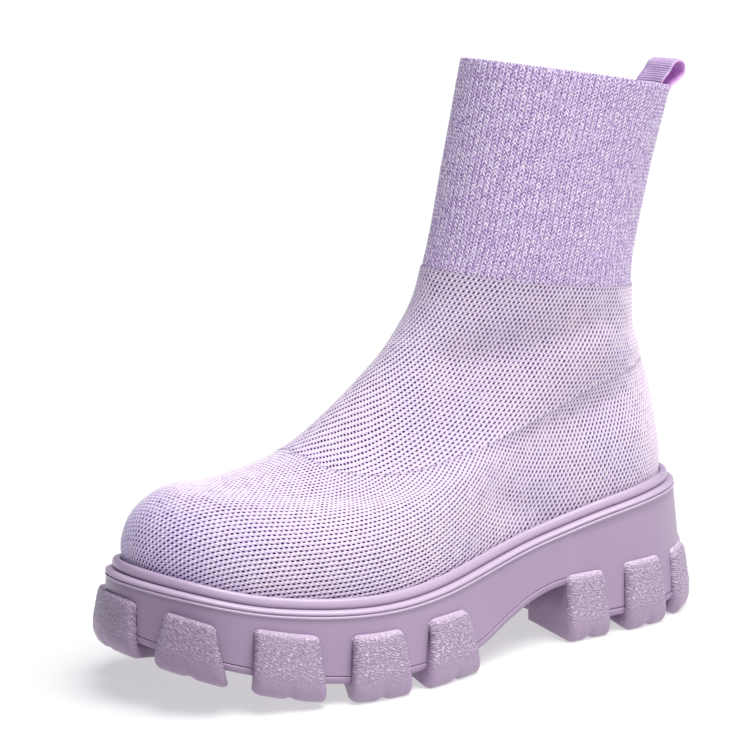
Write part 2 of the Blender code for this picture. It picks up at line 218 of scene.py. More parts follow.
# Upper: ring sections from the feather edge up to the collar
SECTIONS = table(
    "front_y front_z back_y back_z follow round scale half_back half_front ridge_x droop",
    (-126.5, 50.2, 126.5, 55.0, 1.00, 0.00, 1.00, 30, 30, -3.5, 0.0),
    (-126.2, 60.4, 126.7, 67.4, 0.90, 0.00, 1.01, 30, 30, -3.5, 0.0),
    (-121.1, 70.5, 125.0, 79.4, 0.75, 0.05, 0.985, 31, 34, -4.0, 2.0),
    (-109.7, 77.9, 123.4, 89.4, 0.50, 0.15, 0.90, 31, 34, -4.5, 6.0),
    (-85.4, 79.5, 121.5, 98.4, 0.25, 0.40, 0.78, 32, 30, -5.0, 9.0),
    (-57.0, 85.9, 118.2, 106.4, 0.10, 0.70, 0.70, 33, 27, -5.0, 8.0),
    (-29.7, 101.9, 115.3, 114.4, 0.00, 0.90, 0.62, 34, 25, -4.5, 4.0),
    (-6.3, 121.0, 111.3, 122.4, 0.00, 1.00, 0.60, 34, 27, -3.5, 1.5),
    (7.9, 138.2, 110.7, 132.4, 0.00, 1.00, 0.60, 33, 29, -2.0, 0.0),
    (13.9, 154.3, 110.4, 143.4, 0.00, 1.00, 0.60, 32, 30, -1.0, 0.0),
    (24.2, 195.3, 118.4, 179.4, 0.00, 1.00, 0.60, 32, 31, 0.0, 0.0),
    (34.3, 236.2, 130.9, 219.0, 0.00, 1.00, 0.60, 33, 32, 0.0, 0.0),
)
FEATHER_OUT = -6.5
FEATHER_UP = 3.0
FORE_BLEND = (0.2, 0.75)
FRONT_WEIGHT = 0.6
CUFF_STEP = 0.5
CUFF_STEP_FADE = 9.0
CUFF_EDGE = table(
    "way place",
    (0.00, 149.8),
    (0.20, 148.8),
    (0.36, 147.2),
    (0.50, 146.4),
    (0.73, 145.1),
    (1.00, 144.2),
)
UPPER_STATIONS = 232
PLACE_STEP = 0.75
GRID_END = 1e-6

# Soft folds of the ankle and a dent at the heel: how far each stands out, its half width,
# and its line over the wall
FOLDS = (
    (-2.4, 9.0, table("way place", (0.28, 115), (0.38, 117), (0.47, 119), (0.56, 123), (0.64, 129))),
    (1.0, 12.0, table("way place", (0.45, 58), (0.55, 64), (0.64, 70), (0.74, 78))),
    (-1.8, 9.0, table("way place", (-0.22, 113), (-0.34, 115), (-0.46, 119), (-0.58, 124))),
    (1.2, 8.0, table("way place", (-0.40, 86), (-0.50, 92), (-0.62, 103), (-0.72, 112))),
    (-1.2, 7.0, table("way place", (0.556, 18), (0.582, 11), (0.616, 5))),
)
FOLD_SAMPLES = 40

# Knit of the body: two slanted sets of strands, with a small hole in each gap
HOLE_PITCH = 2.05
HOLE_ROW = 1.75
HOLE_COLUMNS = 4
HOLE_DEEP = 0.85
UNDER_SHARE = 0.45
STRAND_LEAN = 0.6
EDGE_FADE = 0.30
EDGE_DIP = 0.10
LINING_STEP = 3.6
FOOT_TURN = math.radians(33)
FLAT_WAYS = 161
FLAT_RISES = 29
UNWRAP_ROUNDS = 40
ON_PATTERN = 1e-4
LEVEL_SPAN = (0.65, 0.90)
LEVEL_MIDDLE = 0.78
RIM_STEPS = 12
MERGE = 1e-6

# Join between the foot and the ankle of the knit, as the place up the wall for each way round
JOIN = table(
    "way place",
    (0.00, 77.0),
    (0.12, 74.2),
    (0.22, 68.6),
    (0.34, 64.6),
    (0.44, 66.6),
    (0.55, 67.0),
    (0.66, 75.5),
    (0.78, 76.8),
    (1.00, 75.0),
)
JOIN_LINE = 0.45
JOIN_FAINT = (0.40, 0.54)
JOIN_LOST = 0.6
PANEL_CRISP = math.radians(50)

# Rib knit of the cuff
RIB_PITCH = 2.7
RIB_COLUMNS = 6
RIB_DEEP = 0.28
STITCH_PITCH = 1.6
STITCH_ROWS = 3
STITCH_DEEP = 0.35
LEG_LEAN = 2.2
LEG_SWELL = 0.7
LEG_UNEVEN = 0.6
CUFF_TUCK = 0.6
CUFF_INNER_ROWS = 6
CUFF_ROLL = 0.5
CUFF_ROLL_REACH = 2.0

# Pull loop
TAPE_WIDTH = 17.0
TAPE_THICK = 1.2
TAPE_TAIL_Z = 153.5
TAPE_COLUMNS = 12
TAPE_RIB = 1.05
TAPE_RIB_ROWS = 6
TAPE_RIB_DEEP = 0.16
TAPE_EDGE_FROM = 0.86
TAPE_EDGE_THIN = 0.55
COLLAR_REACH = 10.0
TAIL_SEARCH = 200
TAIL_STEPS = 40
LOOP_STEPS = 120
LOOP_FLATTEN = 0.75
LOOP_FLATTEN_UP = (1.5, 6.0)
LOOP = table(
    "out up",
    (1.0, -3.0),
    (2.2, 0.6),
    (4.5, 3.6),
    (6.0, 7.2),
    (5.0, 10.6),
    (2.2, 11.4),
    (-0.5, 9.2),
    (-1.8, 5.2),
    (-3.0, 1.2),
    (-3.3, -3.0),
    (-3.3, -8.0),
    (-3.3, -13.0),
)

# Sewn line that holds the tape's tail
SEAM_LOW = 2.0
SEAM_HIGH = 15.0
SEAM_ACROSS = 0.78
SEAM_SIDE_POINTS = 8
SEAM_CROSS_POINTS = 12
SEAM_PITCH = 2.6
SEAM_STITCH = 2.1
SEAM_THREAD = 0.55

# Colours as seen on a screen, 0 to 255, with the yarns' and the grain's from dark to pale
MOTTLE = (0.3, 0.7)
KNIT_MOTTLE = (0.35, 0.65)
KNIT_TINTS = ((228, 208, 229), (210, 191, 229))
KNIT_FLECKS = ((186, 168, 205), (243, 231, 244))
# The knit strands' colour is a painted highlight, the holes' colour painted shade
KNIT_STRAND_HIGHLIGHT = (247, 245, 242)
KNIT_HOLE_SHADE = (46, 16, 82)
# Cuff yarn from painted shade between the stitch legs to a painted highlight on them
CUFF_YARN_PAINTED_LIGHT = (
    (0.0, (118, 90, 152)),
    (0.25, (206, 179, 230)),
    (0.55, (238, 214, 252)),
    (0.95, (254, 251, 255)),
)
# Painted shade in the cuff's rib valleys
CUFF_VALLEY_SHADE = (130, 104, 162)
WALL_RUBBER = ((158, 138, 166), (166, 146, 174))
# Paler rubber on the beads as painted light, and painted shade in the grooves
BEAD_RUBBER_PAINTED_LIGHT = ((192, 174, 200), (200, 182, 207))
BEAD_GROOVE_SHADE = (108, 90, 116)
TREAD_RUBBER = ((156, 135, 163), (164, 143, 171))
# Lug grain from painted shade in its pits to painted highlight on its ridges, and a painted highlight along
# the lugs' tops
LUG_GRAIN_WITH_PAINTED_LIGHT = (
    (0.0, (172, 151, 180)),
    (0.5, (194, 173, 202)),
    (1.0, (216, 197, 223)),
)
LUG_TOP_HIGHLIGHT = (230, 214, 235)
TAPE_OUTSIDE = ((218, 192, 236), (240, 216, 250))
# Painted light inside the loop, and painted shade in the rib grooves
TAPE_INSIDE_PAINTED_LIGHT = ((238, 178, 244), (252, 206, 253))
TAPE_GROOVE_SHADE = (124, 98, 156)
THREAD_TWIST = ((176, 154, 204), (214, 198, 234))
FOOTBED_NAP = ((188, 170, 205), (218, 204, 230))

# Random fields of the finishes: scale in a metre, then detail and roughness where they differ
KNIT_CLOUD = (26.0,)
KNIT_YARN = (1500.0, 4.0, 0.7)
KNIT_DRIFT = (260.0, 2.0)
KNIT_PATCH = (330.0, 2.0)
CUFF_FUZZ = (1700.0, 4.0, 0.75)
CUFF_TUFT = (1000.0, 2.0)
CUFF_DRIFT = (420.0, 2.0)
CUFF_SWAY = (510.0, 2.0)
RUBBER_CLOUD = (18.0,)
RUBBER_FINE = (900.0,)
TAPE_YARN = (1400.0,)
THREAD_PLY = (2600.0, 2.0)
FOOTBED_FUZZ = (700.0, 5.0, 0.7)

# How far those fields shift the knit and the ribs, and where strands, holes and grain begin and end
KNIT_RAGGED = 0.65
KNIT_DRIFTING = 0.7
KNIT_PATCHY = 0.5
KNIT_HOLE_SPAN = (0.18, 0.48)
KNIT_STRAND_SPAN = (0.20, 0.85)
KNIT_FLECK_SHARE = 0.45
KNIT_SEAM_SHARE = 0.2
KNIT_YARN_HEIGHT = 0.5
CUFF_RAGGED = 2.4
CUFF_TUFTED = 1.2
CUFF_DRIFTING = 1.3
CUFF_SWAYING = 0.8
CUFF_STRAND_SPAN = (-0.15, 0.85)
# Painted shade in the rib valleys
CUFF_VALLEY_SHADE_SHARE = 0.40
PEBBLE_SPAN = (0.34, 0.66)
# Painted highlight along the lugs' tops
LUG_TOP_HIGHLIGHT_SHARE = 0.7
# Painted shade in the grooves of the platform and the tape
GROOVE_SHADE_SHARE = 0.55

# Painted shade that deepens the colours towards the toe, and how far each finish takes it
PAINTED_SHADE_FROM = 82.0
RUBBER_PAINTED_SHADE = (112, 92, 120)
RUBBER_PAINTED_SHADE_MOST = 0.4
BEAD_PAINTED_SHADE_MOST = 0.22
KNIT_PAINTED_SHADE = (144, 126, 220)
KNIT_PAINTED_SHADE_MOST = 0.18

# Stage and light
FLOOR_HALF = 9.0
FLOOR_COLOUR = (0.38, 0.38, 0.385, 1.0)
FLOOR_GLOW = 0.52
ROOM_DIM = (0.08, 0.08, 0.15, 1.0)
ROOM_BRIGHT = (0.64, 0.62, 0.64, 1.0)
ROOM_SIDE = (0.98, 0.20, 0.0)
ROOM_POWER = 3.0
KEY_FROM = (0.31, 0.10, 0.945)
KEY_SPREAD = math.radians(45)
KEY_LIGHT = 3.80
KEY_COLOUR = (1.0, 0.985, 0.965)

# Camera as the picture was taken, in millimetres
CAMERA_AT = (975.94, -679.19, 340.67)
CAMERA_AIM = (-9.830, -10.403, 111.345)
CAMERA_LENS = 144.92
CAMERA_ROLL = math.radians(-1.065)
SENSOR = 36.0


def smooth(knots, rows, at):
    """A smooth curve through the rows, read at the given places."""
    knots = np.asarray(knots, float)
    rows = np.asarray(rows, float).reshape(len(knots), -1)
    at = np.atleast_1d(np.asarray(at, float))
    step = np.diff(knots)[:, None]
    slope = np.diff(rows, axis=0) / step
    tangent = np.empty_like(rows)
    tangent[0] = slope[0]
    tangent[-1] = slope[-1]
    tangent[1:-1] = (step[1:] * slope[:-1] + step[:-1] * slope[1:]) / (step[1:] + step[:-1])
    k = np.clip(np.searchsorted(knots, at, side="right") - 1, 0, len(step) - 1)
    t = (at[:, None] - knots[k][:, None]) / step[k]
    start = (2 * t**3 - 3 * t**2 + 1) * rows[k] + (t**3 - 2 * t**2 + t) * step[k] * tangent[k]
    end = (3 * t**2 - 2 * t**3) * rows[k + 1] + (t**3 - t**2) * step[k] * tangent[k + 1]
    return (start + end).squeeze()


def ease(x):
    """A soft step from 0 to 1."""
    x = np.clip(x, 0.0, 1.0)
    return x * x * (3 - 2 * x)


def fade(x, low, high):
    """A soft step from 0 to 1 between two values."""
    return ease((x - low) / (high - low))


def unit(vectors):
    """Vectors drawn to length 1."""
    return vectors / np.linalg.norm(vectors, axis=-1, keepdims=True)


def gaps(points):
    """Distance from each point of a line to the next."""
    return np.linalg.norm(np.diff(points, axis=0), axis=1)


def running(steps):
    """Distance run at each end of the steps, from 0."""
    return np.concatenate([[0.0], np.cumsum(steps)])


def straight(knots, rows, at):
    """Straight lines between the rows, read at the given places."""
    return np.stack([np.interp(at, knots, column) for column in rows.T], axis=-1)


def trace(rows, samples):
    """A smooth line through a table's rows."""
    points = np.column_stack(list(rows.values()))
    knots = np.arange(len(points))
    return smooth(knots, points, np.linspace(0, knots[-1], samples))


def closed_spline(points, samples):
    """A closed cubic spline through a ring of points."""
    p = np.asarray(points, float)
    count = len(p)
    h = np.linalg.norm(np.roll(p, -1, 0) - p, axis=1) ** 0.5
    knots = running(h)
    matrix = np.zeros((count, count))
    right = np.zeros_like(p)
    for i in range(count):
        before, after = (i - 1) % count, (i + 1) % count
        matrix[i, before] = h[before]
        matrix[i, i] = 2 * (h[before] + h[i])
        matrix[i, after] = h[i]
        right[i] = 6 * ((p[after] - p[i]) / h[i] - (p[i] - p[before]) / h[before])
    bend = np.linalg.solve(matrix, right)
    u = np.linspace(0.0, knots[-1], samples, endpoint=False)
    k = np.clip(np.searchsorted(knots, u, side="right") - 1, 0, count - 1)
    nxt = (k + 1) % count
    hk = h[k][:, None]
    a = (knots[k + 1] - u)[:, None]
    b = (u - knots[k])[:, None]
    cubic = bend[k] * a**3 / (6 * hk) + bend[nxt] * b**3 / (6 * hk)
    return cubic + (p[k] / hk - bend[k] * hk / 6) * a + (p[nxt] / hk - bend[nxt] * hk / 6) * b


class Outline:
    """The sole's outline by arc length, from the toe tip along the outer side and back."""

    def __init__(self):
        y = SOLE_LENGTH / 2 - OUTLINE["share"] * SOLE_LENGTH
        outer = np.column_stack([OUTLINE["outer"], y])
        inner = np.column_stack([-OUTLINE["inner"], y])
        toe = [(TOE_TIP_X, -SOLE_LENGTH / 2)]
        heel = [(0.0, SOLE_LENGTH / 2)]
        ring = closed_spline(np.vstack([toe, outer[::-1], heel, inner]), OUTLINE_SAMPLES)
        ring = np.roll(ring, -ring[:, 1].argmin(), axis=0)
        along = unit(np.roll(ring, -1, 0) - np.roll(ring, 1, 0))
        normal = np.column_stack([along[:, 1], -along[:, 0]])
        self.ring = np.vstack([ring, ring[:1]])
        self.normal = np.vstack([normal, normal[:1]])
        self.arc = running(gaps(self.ring))
        self.length = self.arc[-1]
        self.heel = self.ring[:, 1].argmax()
        self.heel_arc = self.arc[self.heel]

    def at(self, arc, out):
        """Points at these arc lengths, moved outward."""
        arc = np.asarray(arc, float) % self.length
        shift = straight(self.arc, self.normal, arc) * np.reshape(out, (-1, 1))
        return straight(self.arc, self.ring, arc) + shift

    def arcs(self, y):
        """Arc lengths of a ring whose stations lie at these y, toe tip first."""
        outer = np.interp(y[1:-1], self.ring[:self.heel + 1, 1], self.arc[:self.heel + 1])
        inner = np.interp(y[1:-1], self.ring[self.heel:, 1][::-1], self.arc[self.heel:][::-1])
        return np.concatenate([[0.0], outer, [self.heel_arc], inner[::-1]])


SOLE = Outline()


def stations(count, breast=None):
    """Station places from toe to heel, two of them drawn together at a heel breast."""
    y = -SOLE_LENGTH / 2 * np.cos(np.linspace(0.0, math.pi, count + 1))
    if breast is not None:
        k = np.searchsorted(y, breast) - 1
        y[k] = breast - BREAST_SLOPE
        y[k + 1] = breast + BREAST_SLOPE
    return y


def around(y):
    """A value for each point of a ring from the stations' values."""
    return np.concatenate([y, y[-2:0:-1]])


def ground(y):
    """Height of the tread over the floor: flat, then the toe spring."""
    past = (SOLE_LENGTH / 2 - y) / SOLE_LENGTH - SPRING_START
    return TOE_SPRING * (np.maximum(past, 0.0) / (1 - SPRING_START)) ** SPRING_POWER


def rim_height(y):
    """Height of the lower bead."""
    share = np.clip((SOLE_LENGTH / 2 - y) / SOLE_LENGTH, 0.0, 1.0)
    return smooth(RIM["share"], RIM["height"], share)


def plate_height(y, breast):
    """Height of the plate's lower face: tread, then arch, then heel."""
    arch = smooth(ARCH["y"], ARCH["height"], np.clip(y, ARCH["y"][0], ARCH["y"][-1]))
    front = np.where(y < ARCH["y"][0], ground(y) + PLATE_LIFT, arch)
    return np.where(y < breast, front, PLATE_LIFT)


def sole_ring(y, out, height):
    """A ring of the sole at the stations, at a distance out and a height for each point."""
    flat = SOLE.at(SOLE.arcs(y), out)
    return np.column_stack([flat, height])


def edge_place(way):
    """Place of the cuff's lower edge."""
    return smooth(CUFF_EDGE["way"], CUFF_EDGE["place"], np.abs(way))


def join_place(way):
    """Place of the join between foot and ankle."""
    return smooth(JOIN["way"], JOIN["place"], np.abs(way))


class Last:
    """The upper's outer surface: rings that turn from the sole's outline into the leg's egg shape."""

    def __init__(self):
        fronts = np.hypot(np.diff(SECTIONS["front_y"]), np.diff(SECTIONS["front_z"]))
        backs = np.hypot(np.diff(SECTIONS["back_y"]), np.diff(SECTIONS["back_z"]))
        steps = FRONT_WEIGHT * fronts + (1 - FRONT_WEIGHT) * backs
        self.places = running(steps)
        self.rows = np.column_stack(list(SECTIONS.values()))
        self.top = self.places[-1]
        y = stations(UPPER_STATIONS)
        self.base = sole_ring(y, FEATHER_OUT, around(rim_height(y)) + FEATHER_UP)
        back, front = self.base[UPPER_STATIONS], self.base[0]
        self.forward = (back[1] - self.base[:, 1]) / (back[1] - front[1])
        self.sag = self.base[:, 2] - (back[2] + (front[2] - back[2]) * self.forward)
        index = np.arange(2 * UPPER_STATIONS)
        self.side = np.where(index < UPPER_STATIONS, 1.0, -1.0)
        share = np.minimum(index, 2 * UPPER_STATIONS - index) / UPPER_STATIONS
        self.edge = edge_place(share)

    def section(self, place):
        """The table's columns at a place between the feather edge and the collar."""
        return dict(zip(SECTIONS, smooth(self.places, self.rows, place)))

    def ring(self, place, lean):
        """The ring of points at a place, moved out by the lean of the cuff's step."""
        s = self.section(place)
        f = self.forward
        blend = fade(f, *FORE_BLEND)
        swell = 2 * np.sqrt(np.clip(f * (1 - f), 0.0, None))
        half = s["half_back"] + (s["half_front"] - s["half_back"]) * blend
        egg = self.side * swell * half + s["ridge_x"] * blend
        x = (1 - s["round"]) * self.base[:, 0] * s["scale"] + s["round"] * egg
        y = s["back_y"] + (s["front_y"] - s["back_y"]) * f
        z = s["back_z"] + (s["front_z"] - s["back_z"]) * f + s["follow"] * self.sag
        z = z - s["droop"] * swell**2 * blend
        ring = np.column_stack([x, y, z])
        spoke = unit(ring - ring.mean(axis=0))
        step = np.exp(-np.abs(place - self.edge) / CUFF_STEP_FADE) * CUFF_STEP / 2
        return ring + spoke * (step * lean)[:, None]

    def back(self, place):
        """The point at the middle of the cuff's back."""
        return self.ring(place, -1.0)[UPPER_STATIONS]


LAST = Last()


class Face:
    """A stretch of the upper's outer face as a fine grid, read anywhere by way and place."""

    def __init__(self, low, high, lean, folds=()):
        rows = int(math.ceil((high - low) / PLACE_STEP)) + 1
        self.low, self.high, self.rows = low, high, rows
        rings = np.array([LAST.ring(p, lean) for p in np.linspace(low, high, rows)])
        order = (UPPER_STATIONS + np.arange(-1, 2 * UPPER_STATIONS + 2)) % (2 * UPPER_STATIONS)
        self.settle(rings[:, order])
        lift = sum((self.fold(*one) for one in folds), np.zeros((rows, 2 * UPPER_STATIONS + 1)))
        lifted = self.points + self.normals * lift[:, :, None]
        self.settle(np.concatenate([lifted[:, -2:-1], lifted, lifted[:, 1:2]], axis=1))

    def settle(self, wide):
        """Keep the grid and its outward normals, without the spare column at each end."""
        normal = unit(np.cross(np.gradient(wide, axis=1), np.gradient(wide, axis=0)))
        self.points = wide[:, 1:-1]
        self.normals = normal[:, 1:-1]

    def fold(self, lift, half, line):
        """How far a soft fold moves each grid point out."""
        path, _ = self.at(*trace(line, FOLD_SAMPLES).T)
        near = np.full(self.points.shape[:2], np.inf)
        for spot in path:
            near = np.minimum(near, np.linalg.norm(self.points - spot, axis=2))
        return lift * np.exp(-(near / half) ** 2)

    def at(self, way, place):
        """Points and outward normals at these ways and places."""
        col = np.clip((np.asarray(way) + 1) * UPPER_STATIONS, 0, 2 * UPPER_STATIONS - GRID_END)
        row = np.clip((np.asarray(place) - self.low) / (self.high - self.low), 0, 1) * (self.rows - 1)
        row = np.minimum(row, self.rows - 1 - GRID_END)
        i, j = row.astype(int), col.astype(int)
        a, b = (row - i)[:, None], (col - j)[:, None]
        found = []
        for grid in (self.points, self.normals):
            low = grid[i, j] * (1 - b) + grid[i, j + 1] * b
            high = grid[i + 1, j] * (1 - b) + grid[i + 1, j + 1] * b
            found.append(low * (1 - a) + high * a)
        return found[0], unit(found[1])


BODY = Face(0.0, LAST.edge.max(), 1.0, FOLDS)
CUFF = Face(LAST.edge.min() - CUFF_TUCK, LAST.top, -1.0)


def new_object(name, data):
    """An object in the scene."""
    made = bpy.data.objects.new(name, data)
    bpy.context.scene.collection.objects.link(made)
    return made


def corner_points(mesh):
    """The point under each face corner of a mesh."""
    corner = np.empty(len(mesh.loops), np.int32)
    mesh.loops.foreach_get("vertex_index", corner)
    return corner


def new_piece(name, points, faces, uv=None, **marks):
    """A mesh object at the origin from points in millimetres, with values marked on its points."""
    mesh = bpy.data.meshes.new(name)
    mesh.from_pydata(((points + CENTRE) * MM).tolist(), [], faces)
    for mark, values in marks.items():
        values = np.asarray(values, np.float32)
        kind, key = ("FLOAT_VECTOR", "vector") if values.ndim == 2 else ("FLOAT", "value")
        mesh.attributes.new(mark, kind, "POINT").data.foreach_set(key, values.ravel())
    if uv is not None:
        layer = mesh.uv_layers.new(name="flat")
        layer.data.foreach_set("uv", np.asarray(uv, np.float32)[corner_points(mesh)].ravel())
    mesh.validate()
    mesh.shade_smooth()
    return new_object(name, mesh)


def add_piece(piece, node):
    """Hang a finished piece on the boot in place of its solid."""
    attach(piece, "root")
    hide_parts(node)


def flatten(points, quads):
    """Flat places of a curved panel's points, unwrapped with little stretch, in millimetres."""
    mesh = bpy.data.meshes.new("flat_pattern")
    mesh.from_pydata((points * MM).tolist(), [], quads)
    pattern = new_object("flat_pattern", mesh)
    bpy.context.view_layer.objects.active = pattern
    pattern.select_set(True)
    mesh.uv_layers.new(name="flat")
    bpy.ops.object.mode_set(mode="EDIT")
    bpy.ops.mesh.select_all(action="SELECT")
    bpy.ops.uv.unwrap(method="MINIMUM_STRETCH", iterations=UNWRAP_ROUNDS)
    bpy.ops.object.mode_set(mode="OBJECT")
    flat = np.empty(len(mesh.loops) * 2)
    mesh.uv_layers["flat"].data.foreach_get("uv", flat)
    places = np.zeros((len(points), 2))
    places[corner_points(mesh)] = flat.reshape(-1, 2)
    bpy.data.objects.remove(pattern)
    bpy.data.meshes.remove(mesh)
    return places


def area(points, quads):
    """Area of a mesh of quads."""
    p = points[np.asarray(quads)]
    if points.shape[1] == 2:
        p = np.concatenate([p, np.zeros(p.shape[:2] + (1,))], axis=2)
    doubled = np.cross(p[:, 2] - p[:, 0], p[:, 3] - p[:, 1])
    return np.linalg.norm(doubled, axis=1).sum() / 2


def grid_quads(columns, rows, wrap=False):
    """Faces of a grid of points stored row by row."""
    across = columns if wrap else columns - 1
    j, i = np.meshgrid(np.arange(rows - 1), np.arange(across), indexing="ij")
    k = (i + 1) % columns
    quads = [j * columns + i, j * columns + k, (j + 1) * columns + k, (j + 1) * columns + i]
    return np.stack(quads, axis=-1).reshape(-1, 4)


def tube(count, rows):
    """Faces of a tube of rings stored one after another, with a flat face at each end."""
    last = count * (rows - 1)
    ends = [list(range(count)), list(range(last, last + count))]
    return grid_quads(count, rows, True).tolist() + ends


def shifted(faces, by):
    """Faces whose points are stored further on."""
    return [[k + by for k in face] for face in faces]


class Pattern:
    """A knit panel's flat pattern, with the way back from a flat place to the wall."""

    def __init__(self, low, high, level):
        way = np.linspace(-1, 1, FLAT_WAYS)
        rise = np.linspace(0, 1, FLAT_RISES)
        self.way = np.tile(way, FLAT_RISES)
        bottom, top = low(way), high(way)
        self.place = (bottom + (top - bottom) * rise[:, None]).ravel()
        points, _ = BODY.at(self.way, self.place)
        quads = grid_quads(FLAT_WAYS, FLAT_RISES)
        flat = flatten(points, quads.tolist())
        flat *= math.sqrt(area(points, quads) / area(flat, quads))
        self.flat = levelled(flat, level)
        self.triangles = np.concatenate([quads[:, [0, 1, 2]], quads[:, [0, 2, 3]]])
        spots = np.column_stack([self.flat, np.zeros(len(flat))])
        self.tree = BVHTree.FromPolygons(spots.tolist(), self.triangles.tolist())
        self.rim = self.rim_points()
        self.rim_tree = None

    def rim_points(self):
        """The pattern's edge as flat places with their ways and places, closely spaced."""
        grid = np.arange(FLAT_WAYS * FLAT_RISES).reshape(FLAT_RISES, FLAT_WAYS)
        loop = np.concatenate([grid[0, :-1], grid[:-1, -1], grid[-1, :0:-1], grid[:0:-1, 0]])
        rows = np.column_stack([self.flat, self.way, self.place])[np.append(loop, loop[0])]
        t = np.linspace(0, 1, RIM_STEPS, endpoint=False)[None, :, None]
        return (rows[:-1, None] * (1 - t) + rows[1:, None] * t).reshape(-1, 4)

    def find(self, flat):
        """Way and place of each flat place, and whether it lies on the pattern."""
        face = np.full(len(flat), -1)
        for n, (u, v) in enumerate(flat.tolist()):
            hit = self.tree.find_nearest((u, v, 0.0), ON_PATTERN)[2]
            if hit is not None:
                face[n] = hit
        inside = face >= 0
        corner = self.triangles[face[inside]]
        p, q, r = (self.flat[corner[:, k]] for k in range(3))
        spot = flat[inside]
        whole = cross(q - p, r - p)
        second = cross(spot - p, r - p) / whole
        third = cross(q - p, spot - p) / whole
        share = np.column_stack([1 - second - third, second, third])
        found = np.zeros((len(flat), 2))
        found[inside, 0] = (self.way[corner] * share).sum(axis=1)
        found[inside, 1] = (self.place[corner] * share).sum(axis=1)
        return found, inside

    def to_rim(self, flat):
        """The nearest edge point of each flat place, with its way and place, and its distance."""
        if self.rim_tree is None:
            self.rim_tree = KDTree(len(self.rim))
            for k, row in enumerate(self.rim.tolist()):
                self.rim_tree.insert((row[0], row[1], 0.0), k)
            self.rim_tree.balance()
        near = np.empty(len(flat), int)
        far = np.empty(len(flat))
        for n, (u, v) in enumerate(flat.tolist()):
            _, near[n], far[n] = self.rim_tree.find((u, v, 0.0))
        return self.rim[near], far


def cross(a, b):
    """Signed area between flat vectors."""
    return a[:, 0] * b[:, 1] - a[:, 1] * b[:, 0]


def turning(angle):
    """Matrix that turns flat places written as rows."""
    cosine, sine = math.cos(angle), math.sin(angle)
    return np.array([[cosine, sine], [-sine, cosine]])


def levelled(flat, level):
    """A flat pattern turned level by its top or low edge, the foot's then to the slant of its rows."""
    row = FLAT_WAYS * (FLAT_RISES - 1 if level == "top" else 0)
    start, end = (row + int(FLAT_WAYS * s) for s in LEVEL_SPAN)
    along = flat[end] - flat[start]
    flat = (flat - flat[start]) @ turning(-math.atan2(along[1], along[0]))
    middle = row + int(FLAT_WAYS * LEVEL_MIDDLE)
    above = flat[middle + (-FLAT_WAYS if level == "top" else FLAT_WAYS)] - flat[middle]
    upward = -above[1] if level == "top" else above[1]
    if upward < 0:
        flat[:, 1] *= -1
    return straighten(flat) if level == "top" else flat @ turning(FOOT_TURN)


def straighten(flat):
    """Shear a flat pattern so that its top edge is one straight row."""
    top = flat[-FLAT_WAYS:]
    order = np.argsort(top[:, 0])
    level = np.interp(flat[:, 0], top[order, 0], top[order, 1])
    return np.column_stack([flat[:, 0], flat[:, 1] - level])


def lattice(pattern):
    """Flat places of the knit's points inside a pattern, their ways and places, and the faces between."""
    du, dv = HOLE_PITCH / HOLE_COLUMNS, HOLE_ROW / 2
    low = np.floor(pattern.flat.min(axis=0) / (du, dv)).astype(int)
    high = np.ceil(pattern.flat.max(axis=0) / (du, dv)).astype(int)
    columns, rows = high - low + 1
    j, i = np.meshgrid(np.arange(rows), np.arange(columns), indexing="ij")
    flat = np.column_stack([i.ravel() + low[0], j.ravel() + low[1]]) * (du, dv)
    found, inside = pattern.find(flat)
    quads = grid_quads(columns, rows)
    quads = quads[inside[quads].all(axis=1)]
    used = np.unique(quads)
    fresh = np.full(len(flat), -1)
    fresh[used] = np.arange(len(used))
    return flat[used], found[used], fresh[quads]


def open_edges(quads):
    """Edges that only one face has, in that face's direction."""
    edges = np.concatenate([quads[:, [k, (k + 1) % 4]] for k in range(4)])
    key = np.sort(edges, axis=1)
    _, first, count = np.unique(key, axis=0, return_index=True, return_counts=True)
    return edges[first[count == 1]]


def lining(pattern, flat, edges):
    """Flat places and faces of a panel's plain inner side, joined to the edge of its outer side."""
    low, high = pattern.flat.min(axis=0), pattern.flat.max(axis=0)
    u, v = np.meshgrid(np.arange(low[0], high[0], LINING_STEP), np.arange(low[1], high[1], LINING_STEP))
    spots = np.column_stack([u.ravel(), v.ravel()])
    found, inside = pattern.find(spots)
    spots, found = spots[inside], found[inside]
    _, far = pattern.to_rim(spots)
    spots, found = spots[far > LINING_STEP / 2], found[far > LINING_STEP / 2]
    ring = np.unique(edges)
    fresh = np.full(edges.max() + 1, -1)
    fresh[ring] = np.arange(len(ring))
    corners = [Vector(p) for p in np.vstack([flat[ring], spots])]
    result = geometry.delaunay_2d_cdt(corners, fresh[edges].tolist(), [], 1, MERGE)
    origin = [ids[0] if ids else -1 for ids in result[3]]
    faces = [[origin[k] for k in face] for face in result[2]]
    return ring, spots, found, [f for f in faces if min(f) >= 0]


def near_join(found):
    """1 on the join between foot and ankle, 0 a little away from it, fainter towards the heel."""
    gap = np.abs(found[:, 1] - join_place(found[:, 0]))
    heelward = fade(np.abs(found[:, 0]), *JOIN_FAINT)
    return (1 - ease(gap / JOIN_LINE)) * (1 - JOIN_LOST * heelward)


